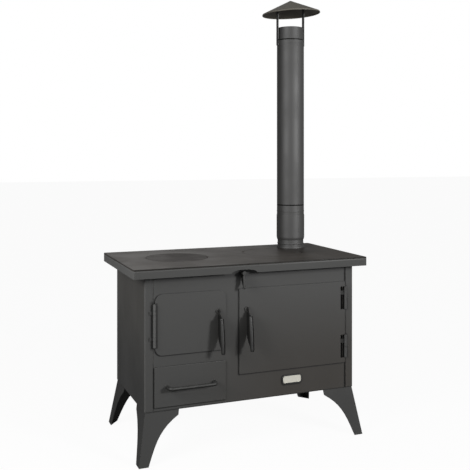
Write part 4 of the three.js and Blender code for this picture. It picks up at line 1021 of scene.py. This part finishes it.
class STOVE_OT_flue(StovePart, bpy.types.Operator):
    """Turn the spigot, the pipes and the cowl, and rivet the straps"""
    bl_idname = "stove.flue"
    bl_label = "Flue"
    # Sections as (radius, height) in millimetres, from the plate's top
    spigot = ([(57.5, -35), (59.5, -35), (59.5, 0.3), (63.5, 0.3), (63.5, 5.8), (62.9, 6.8), (59.5, 7)]
              + bead(59.5, 17, 6, 1.5) + [(59.5, 68), (57.5, 68)])
    lower_pipe = [
        (59.8, 38), (61.3, 38), (62.4, 42), (63.6, 47), (64, 52), (64, 151.6), (63.5, 153.1), (60.7, 153.1),
        (60.7, 195), (59.2, 195), (59.2, 151.6), (61, 150), (61, 52), (60.2, 46)]
    # The same from the upper pipe's foot, from its top, and from the tip of the cap
    upper_foot = [(61, 0), (62.1, 0), (62.5, 0.4)] + bead(62.5, 13, 5, 0.9)
    upper_top = [(62.5, -23), (62.7, -20), (63.6, -14), (64, -11), (64, -0.8), (63.4, 0), (61, 0)]
    collar = [(59.2, -40), (60.7, -40), (60.7, 0), (59.6, 1.2), (59.4, 3), (59.4, 59.6), (59, 60), (58.2, 60),
              (57.9, 59.6), (57.9, 3), (59.2, 0)]
    cap_cone = [
        (0, 0), (30, -13.0), (80, -34.6), (132.4, -57.3), (133.6, -58.3), (134, -59.6), (134, -63.2),
        (133.4, -64), (132.4, -64), (132, -63.4), (132, -59.2), (80, -36.6), (30, -15.0), (0, -2)]
    cap_lean = math.radians(3.5)
    rivet_rise, rivet_height = 9 * MM, 1.8 * MM

    def execute(self, context):
        enamel = flue_enamel()
        axis = Vector((FLUE_AXIS.x, FLUE_AXIS.y, PLATE_TOP))
        foot = (low("flue_pipe_upper").z - PLATE_TOP) / MM
        top = (high("flue_pipe_upper").z - PLATE_TOP) / MM
        upper_pipe = self.raised(self.upper_foot, foot) + self.raised(self.upper_top, top)
        for name, section, node in (
                ("spigot_finished", self.spigot, "flue_spigot"),
                ("lower_pipe_finished", self.lower_pipe, "flue_pipe_lower"),
                ("upper_pipe_finished", upper_pipe, "flue_pipe_upper"),
                ("collar_finished", self.raised(self.collar, top), "cowl_collar")):
            close_piece(name, turned_shell(section, axis), enamel, "stove", node)
        self.cap(axis)
        for node in ("cowl_strap_left", "cowl_strap_right"):
            dress(node, FINE_EDGE)
            side = 1 if middle(node).x > FLUE_AXIS.x else -1
            face = high(node).x if side > 0 else low(node).x
            spot = Vector((face, FLUE_AXIS.y, low(node).z + self.rivet_rise))
            rivet(f"{node}_rivet", spot, (side, 0, 0), context.scene.stove_shape.rivet_radius,
                  self.rivet_height, enamel, "stove", "flue_steel")
        return {"FINISHED"}

    @staticmethod
    def raised(section, level):
        return [(radius, height + level) for radius, height in section]

    def cap(self, axis):
        """The leaning cone with its rolled edge."""
        tip = Vector((axis.x, axis.y, max(v.co.z for v in frame["nodes"]["cowl_cap"].data.vertices)))
        shell = turned_shell(self.cap_cone, tip, closed=False)
        bmesh.ops.rotate(shell, verts=shell.verts, cent=tip, matrix=Matrix.Rotation(-self.cap_lean, 3, "Y"))
        close_piece("cap_finished", shell, cap_enamel(), "stove", "cowl_cap", smooth_angle=20)


class STOVE_OT_doors(StovePart, bpy.types.Operator):
    """Finish both doors with their rims, and the drawer with its tray and runners"""
    bl_idname = "stove.doors"
    bl_label = "Doors and drawer"

    def execute(self, context):
        radius = context.scene.stove_shape.sheet_edge
        dress("firebox_door", radius * RAISED_DOOR_EDGE, 2, firebox_door_paint())
        for node in ("oven_door", "ash_drawer_front"):
            dress(node, radius * PRESSED_DOOR_EDGE, 3)
        for node in sorted(frame["nodes"]):
            if node.endswith("_rim"):
                # The rims are near-black as painted shade for the dark behind the doors
                dress(node, radius * SMALL_PART_EDGE, 1, shade_black_steel())
            elif node.startswith(("ash_tray", "ash_runner")):
                dress(node, radius * SMALL_PART_EDGE, 1)
        return {"FINISHED"}


class STOVE_OT_hinges(StovePart, bpy.types.Operator):
    """Finish the knuckles, seats and pins of the hinges"""
    bl_idname = "stove.hinges"
    bl_label = "Hinges"

    def execute(self, context):
        radius = context.scene.stove_shape.sheet_edge
        for node in ("firebox_knuckle_lower", "firebox_knuckle_upper", "firebox_hinge_pin"):
            dress(node, radius * SMALL_PART_EDGE, 1, firebox_hinge_paint())
        for node in sorted(frame["nodes"]):
            if node.startswith("oven_hinge"):
                dress(node, radius * SMALL_PART_EDGE, 1, oven_hinge_paint())
        return {"FINISHED"}


class STOVE_OT_levers(StovePart, bpy.types.Operator):
    """Make the door levers' arms, spindles and grips, and bend the drawer's handle"""
    bl_idname = "stove.levers"
    bl_label = "Levers and handles"
    # Reach from the door and height over the pivot, in millimetres
    arm = [(7, 3), (8.5, 5), (11.5, 5), (13, 3), (15, -9), (23, -15), (33, -22), (40, -31), (53, -140),
           (50, -146), (44, -147), (33, -140), (20, -130), (9, -116), (3, -100), (1.6, -80), (1.6, -15),
           (3, -12.5), (7, -12)]
    grip_top, grip_fall = Vector((0, -39, -26)) * MM, Vector((0, -18.5, -142))
    # Radius and distance along the grip, in millimetres: its ferrule, the ends of its belly, its tail
    ferrule = [(0, -4), (4.9, -3.6), (7.1, -2), (8, 0.6), (8, 3), (7.4, 4), (7.4, 5.4), (8.1, 6.6)]
    belly_start, belly_end, belly_steps, belly_rim = 8, 125, 8, 8.1
    tail = [(8.1, 125), (7.9, 129), (6.9, 131.8), (4.7, 133.6), (0, 134)]
    arm_gap, boss_edge = 0.3 * MM, 0.6 * MM
    spindle_front, spindle_radius, spindle_bevel, spindle_overlap = 7.5 * MM, 6, 0.6, 7
    # The drawer's handle: its radius against the CAD's, the radius of its bends, and its feet
    rod_gain = 1.35
    handle_bend = 14 * MM
    handle_foot_radius, handle_foot_height = 8 * MM, 2 * MM

    def execute(self, context):
        for prefix in ("firebox", "oven"):
            self.lever(context.scene.stove_shape, prefix, f"{prefix}_handle")
            dress(f"{prefix}_handle_boss", self.boss_edge, 2, stove_paint())
            dress(f"{prefix}_latch", FINE_EDGE, 1)
        self.drawer_handle()
        return {"FINISHED"}

    def lever(self, shape, prefix, body):
        boss = f"{prefix}_handle_boss"
        pivot = Vector((middle(boss).x, high(boss).y + self.arm_gap, middle(boss).z))
        flat_arm(f"{prefix}_lever_neck", pivot, self.arm, shape.arm_sheet, arm_steel(), body, body)
        self.spindle(prefix, pivot, body)
        self.grip(prefix, pivot, shape.grip_radius / MM, body)

    def spindle(self, prefix, pivot, body):
        """The round spindle from the lever's arm through the boss and the door."""
        radius, bevel = self.spindle_radius, self.spindle_bevel
        length = (high(body).y - pivot.y) / MM + self.spindle_overlap
        origin = pivot - Vector((0, self.spindle_front, 0))
        section = [(0, 0), (radius - 0.4, 0), (radius, bevel), (radius, length - bevel), (0, length)]
        shell = turned_shell(section, origin, steps=32)
        point_along(shell, origin, (0, 1, 0))
        close_piece(f"{prefix}_lever_spindle", shell, blackened_steel(), body, slot="handle_steel")

    def grip(self, prefix, pivot, radius, body):
        """The turned grip: a ferrule, a belly and a rounded tail."""
        length = self.belly_end - self.belly_start
        belly = [(self.belly_rim + (radius - self.belly_rim) * math.sin(math.pi * i / self.belly_steps),
                  self.belly_start + length * i / self.belly_steps) for i in range(1, self.belly_steps)]
        origin = pivot + self.grip_top
        shell = turned_shell(self.ferrule + belly + self.tail, origin, closed=False, steps=40)
        point_along(shell, origin, self.grip_fall.normalized())
        close_piece(f"{prefix}_lever_grip", shell, grip_paint(), body, slot="handle_steel")

    def drawer_handle(self):
        """The drawer's handle, bent from one rod, with a round foot at each end."""
        node, turn = "ash_drawer_handle", self.handle_bend
        body, face = BODY_OF[node], high(node).y
        root = Vector((middle(node).x, face, middle(node).z))
        radius = (high(node).z - low(node).z) / 2
        half = (high(node).x - low(node).x) / 2 - radius
        bar = face - low(node).y - radius
        left = [Vector((-half, 0, 0)), Vector((-half, -(bar - turn) / 2, 0))]
        left += [Vector((-half + turn * (1 - math.cos(angle)), -(bar - turn) - turn * math.sin(angle), 0))
                 for angle in (math.pi / 2 * i / 12 for i in range(13))]
        right = [Vector((-point.x, point.y, 0)) for point in reversed(left)]
        path = [root + point for point in left + right]
        bent_rod("drawer_handle_finished", path, radius * self.rod_gain, handle_paint(), body, node)
        for name, side in (("left", -1), ("right", 1)):
            foot = root + Vector((side * half, -0.2 * MM, 0))
            rivet(f"drawer_handle_foot_{name}", foot, (0, -1, 0), self.handle_foot_radius,
                  self.handle_foot_height, blackened_steel(), body, "handle_steel")


class STOVE_OT_damper(StovePart, bpy.types.Operator):
    """Finish the damper's flap, rod and lever"""
    bl_idname = "stove.damper"
    bl_label = "Damper"
    foot_from_top = Vector((0, 17, -8)) * MM
    arm = [(2, 2), (4, 5), (22, 5), (24, 2), (32, -50), (30, -55), (24, -54), (12, -44), (4, -30), (2, -16)]

    def execute(self, context):
        dress("damper_flap", FINE_EDGE, 1)
        shell = merged_copy("damper_handle")
        close_piece(
            "damper_handle_finished", shell, blackened_steel(), "damper", "damper_handle",
            smooth_angle=50)
        top = high("damper_handle")
        foot = Vector((middle("damper_handle").x, top.y, top.z)) + self.foot_from_top
        sheet = context.scene.stove_shape.arm_sheet
        # The arm is near-black as painted shade under the plate
        flat_arm("damper_arm", foot, self.arm, sheet, shade_black_steel(), "damper", slot="handle_steel")
        return {"FINISHED"}


class STOVE_OT_firebox(StovePart, bpy.types.Operator):
    """Finish the firebox: floor, grate, bricks and the wall to the oven"""
    bl_idname = "stove.firebox"
    bl_label = "Firebox"
    grate_edge = 0.8 * MM

    def execute(self, context):
        shape = context.scene.stove_shape
        for node in ("brick_left", "brick_right", "brick_rear", "brick_front"):
            dress(node, shape.brick_edge, 2)
        dress("grate", self.grate_edge, 1)
        for node in ("firebox_floor", "firebox_divider"):
            dress(node, shape.sheet_edge, 1)
        return {"FINISHED"}


class STOVE_OT_oven(StovePart, bpy.types.Operator):
    """Finish the oven box, its rails and its rack"""
    bl_idname = "stove.oven"
    bl_label = "Oven"

    def execute(self, context):
        radius = context.scene.stove_shape.sheet_edge
        for node in ("oven_box", "oven_rail_left", "oven_rail_right"):
            dress(node, radius * SMALL_PART_EDGE, 1)
        dress("oven_rack", 0, smooth_angle=60)
        return {"FINISHED"}


class STOVE_OT_plain_plate(StovePart, bpy.types.Operator):
    """Finish the small plain plate with its darker raised rim"""
    bl_idname = "stove.plain_plate"
    bl_label = "Plain plate"
    edge, rim_width, field_depth = 0.35 * MM, 4.6 * MM, 0.9 * MM

    def execute(self, context):
        node = "nameplate"
        shell = merged_copy(node)
        break_edges(shell, self.edge, 2)
        plate = close_piece("plain_plate_finished", shell, pale_metal(), BODY_OF[node], node)
        plate.data.materials.append(blackened_steel())
        start, end = low(node), high(node)
        for face in plate.data.polygons:
            centre = face.center
            inside = (start.x + self.rim_width < centre.x < end.x - self.rim_width
                      and start.z + self.rim_width < centre.z < end.z - self.rim_width)
            face.material_index = 0 if inside and centre.y > start.y + self.field_depth else 1
        return {"FINISHED"}


class STOVE_OT_studio(StovePart, bpy.types.Operator):
    """Set up the floor, the white surroundings, the lamps and the camera"""
    bl_idname = "stove.studio"
    bl_label = "Studio"
    floor_half = 30
    # Places and sizes in metres
    lamp_target = (0, 0, 0.6)
    key_place, key_size = (2.08, -3.8, 1.85), 0.8
    side_place, side_size = (-2.3, -1.2, 1.7), 1.3
    camera_place, camera_heading = (-1.16985, -2.97539, 1.16891), -21.58
    lens, sensor_width, shift_y = 57.31, 36, -0.17076
    # Tone of the surroundings by the share of a turn, from the rear over the left side and the front
    world_tones = (
        (0.0, 0.6), (0.03, 0.35), (0.08, 0.0), (0.3, 0.0), (0.35, 1.0), (0.46, 1.0), (0.56, 0.6),
        (0.68, 0.7), (0.8, 0.4), (0.92, 0.15), (0.95, 0.63))

    def execute(self, context):
        studio = context.scene.stove_studio
        self.floor(studio)
        self.surroundings(context, studio)
        self.lamp("Key lamp", self.key_place, self.key_size, studio.key_power)
        self.lamp("Side lamp", self.side_place, self.side_size, studio.side_power)
        self.camera(context)
        context.scene.view_settings.view_transform = "Standard"
        return {"FINISHED"}

    @staticmethod
    def rays_seen(tree):
        """Masks of the camera's own rays, and of those together with mirrored and refracted rays."""
        rays = tree.nodes.new("ShaderNodeLightPath").outputs
        mirrored = math_node(tree, "MAXIMUM", rays["Is Glossy Ray"], rays["Is Transmission Ray"])
        return rays["Is Camera Ray"], math_node(tree, "MAXIMUM", rays["Is Camera Ray"], mirrored)

    def floor(self, studio):
        """A floor that is white to the camera, takes faint shadows and sends little light up."""
        shell = bmesh.new()
        bmesh.ops.create_grid(shell, x_segments=1, y_segments=1, size=self.floor_half)
        mesh = bpy.data.meshes.new("studio_floor")
        shell.to_mesh(mesh)
        shell.free()
        floor = bpy.data.objects.new("studio_floor", mesh)
        bpy.context.scene.collection.objects.link(floor)
        material = bpy.data.materials.new("floor_white")
        material.use_nodes = True
        tree = material.node_tree
        tree.nodes.clear()
        output = tree.nodes.new("ShaderNodeOutputMaterial")
        matt = tree.nodes.new("ShaderNodeBsdfDiffuse")
        glow = tree.nodes.new("ShaderNodeEmission")
        mix = tree.nodes.new("ShaderNodeMixShader")
        camera, seen = self.rays_seen(tree)
        unseen = rgba((studio.far_floor,) * 3)
        link(tree, mix_color(tree, camera, unseen, rgba(studio.floor_color)), matt.inputs["Color"])
        link(tree, mix_color(tree, camera, unseen, rgba((1, 1, 1))), glow.inputs["Color"])
        link(tree, math_node(tree, "MULTIPLY", seen, studio.floor_glow), mix.inputs["Fac"])
        link(tree, matt.outputs["BSDF"], mix.inputs[1])
        link(tree, glow.outputs["Emission"], mix.inputs[2])
        link(tree, mix.outputs["Shader"], output.inputs["Surface"])
        mesh.materials.append(material)

    def surroundings(self, context, studio):
        """White to the camera, and tones that change with the bearing to everything else."""
        world = bpy.data.worlds.new("studio_white")
        context.scene.world = world
        world.use_nodes = True
        tree = world.node_tree
        tree.nodes.clear()
        output = tree.nodes.new("ShaderNodeOutputWorld")
        background = tree.nodes.new("ShaderNodeBackground")
        direction = tree.nodes.new("ShaderNodeSeparateXYZ").outputs
        link(tree, tree.nodes.new("ShaderNodeTexCoord").outputs["Generated"], direction[0].node.inputs[0])
        to_front = math_node(tree, "MULTIPLY", direction[1], -1.0)
        bearing = math_node(tree, "ARCTAN2", direction[0], to_front)
        turn = math_node(tree, "MULTIPLY_ADD", bearing, 0.5 / math.pi, 0.5)
        tones = tree.nodes.new("ShaderNodeValToRGB")
        tones.color_ramp.interpolation = "EASE"
        stops = tones.color_ramp.elements
        for number, (share, tone) in enumerate(self.world_tones):
            stop = stops[number] if number < 2 else stops.new(share)
            stop.position = share
            stop.color = rgba((tone, tone, tone))
        link(tree, turn, tones.inputs["Fac"])
        camera, seen = self.rays_seen(tree)
        color = mix_color(tree, camera, tones.outputs["Color"], rgba((1, 1, 1)))
        link(tree, color, background.inputs["Color"])
        strength = math_node(tree, "MULTIPLY_ADD", seen, 1 - studio.ambient, studio.ambient)
        link(tree, strength, background.inputs["Strength"])
        link(tree, background.outputs["Background"], output.inputs["Surface"])

    def lamp(self, name, place, size, power):
        data = bpy.data.lights.new(name, "AREA")
        data.shape = "DISK"
        data.size = size
        data.energy = power
        lamp = bpy.data.objects.new(name, data)
        lamp.location = place
        facing = Vector(self.lamp_target) - Vector(place)
        lamp.rotation_euler = facing.to_track_quat("-Z", "Y").to_euler()
        bpy.context.scene.collection.objects.link(lamp)

    def camera(self, context):
        data = bpy.data.cameras.new("Camera")
        data.sensor_width = self.sensor_width
        data.lens = self.lens
        data.shift_y = self.shift_y
        camera = bpy.data.objects.new("Camera", data)
        camera.location = self.camera_place
        camera.rotation_euler = (math.radians(90), 0, math.radians(self.camera_heading))
        context.scene.collection.objects.link(camera)
        context.scene.camera = camera


class STOVE_PT_panel(bpy.types.Panel):
    """Pieces and settings of the cookstove"""
    bl_idname = "STOVE_PT_panel"
    bl_label = "Cookstove"
    bl_space_type = "VIEW_3D"
    bl_region_type = "UI"
    bl_category = "Cookstove"

    def draw(self, context):
        for settings in (context.scene.stove_finish, context.scene.stove_shape, context.scene.stove_studio):
            column = self.layout.column(align=True)
            for label in settings.__annotations__:
                column.prop(settings, label)
        for operator in OPERATORS:
            self.layout.operator(operator.bl_idname)


OPERATORS = (
    STOVE_OT_body, STOVE_OT_legs, STOVE_OT_cooking_plate, STOVE_OT_flue, STOVE_OT_doors, STOVE_OT_hinges,
    STOVE_OT_levers, STOVE_OT_damper, STOVE_OT_firebox, STOVE_OT_oven, STOVE_OT_plain_plate, STOVE_OT_studio,
)
CLASSES = (StoveFinish, StoveShape, StoveStudio, *OPERATORS, STOVE_PT_panel)


def register():
    for item in CLASSES:
        bpy.utils.register_class(item)
    bpy.types.Scene.stove_finish = PointerProperty(type=StoveFinish)
    bpy.types.Scene.stove_shape = PointerProperty(type=StoveShape)
    bpy.types.Scene.stove_studio = PointerProperty(type=StoveStudio)


def unregister():
    del bpy.types.Scene.stove_finish
    del bpy.types.Scene.stove_shape
    del bpy.types.Scene.stove_studio
    for item in reversed(CLASSES):
        bpy.utils.unregister_class(item)


def main():
    register()
    for operator in OPERATORS:
        group, name = operator.bl_idname.split(".")
        getattr(getattr(bpy.ops, group), name)()


if __name__ == "__main__":
    main()
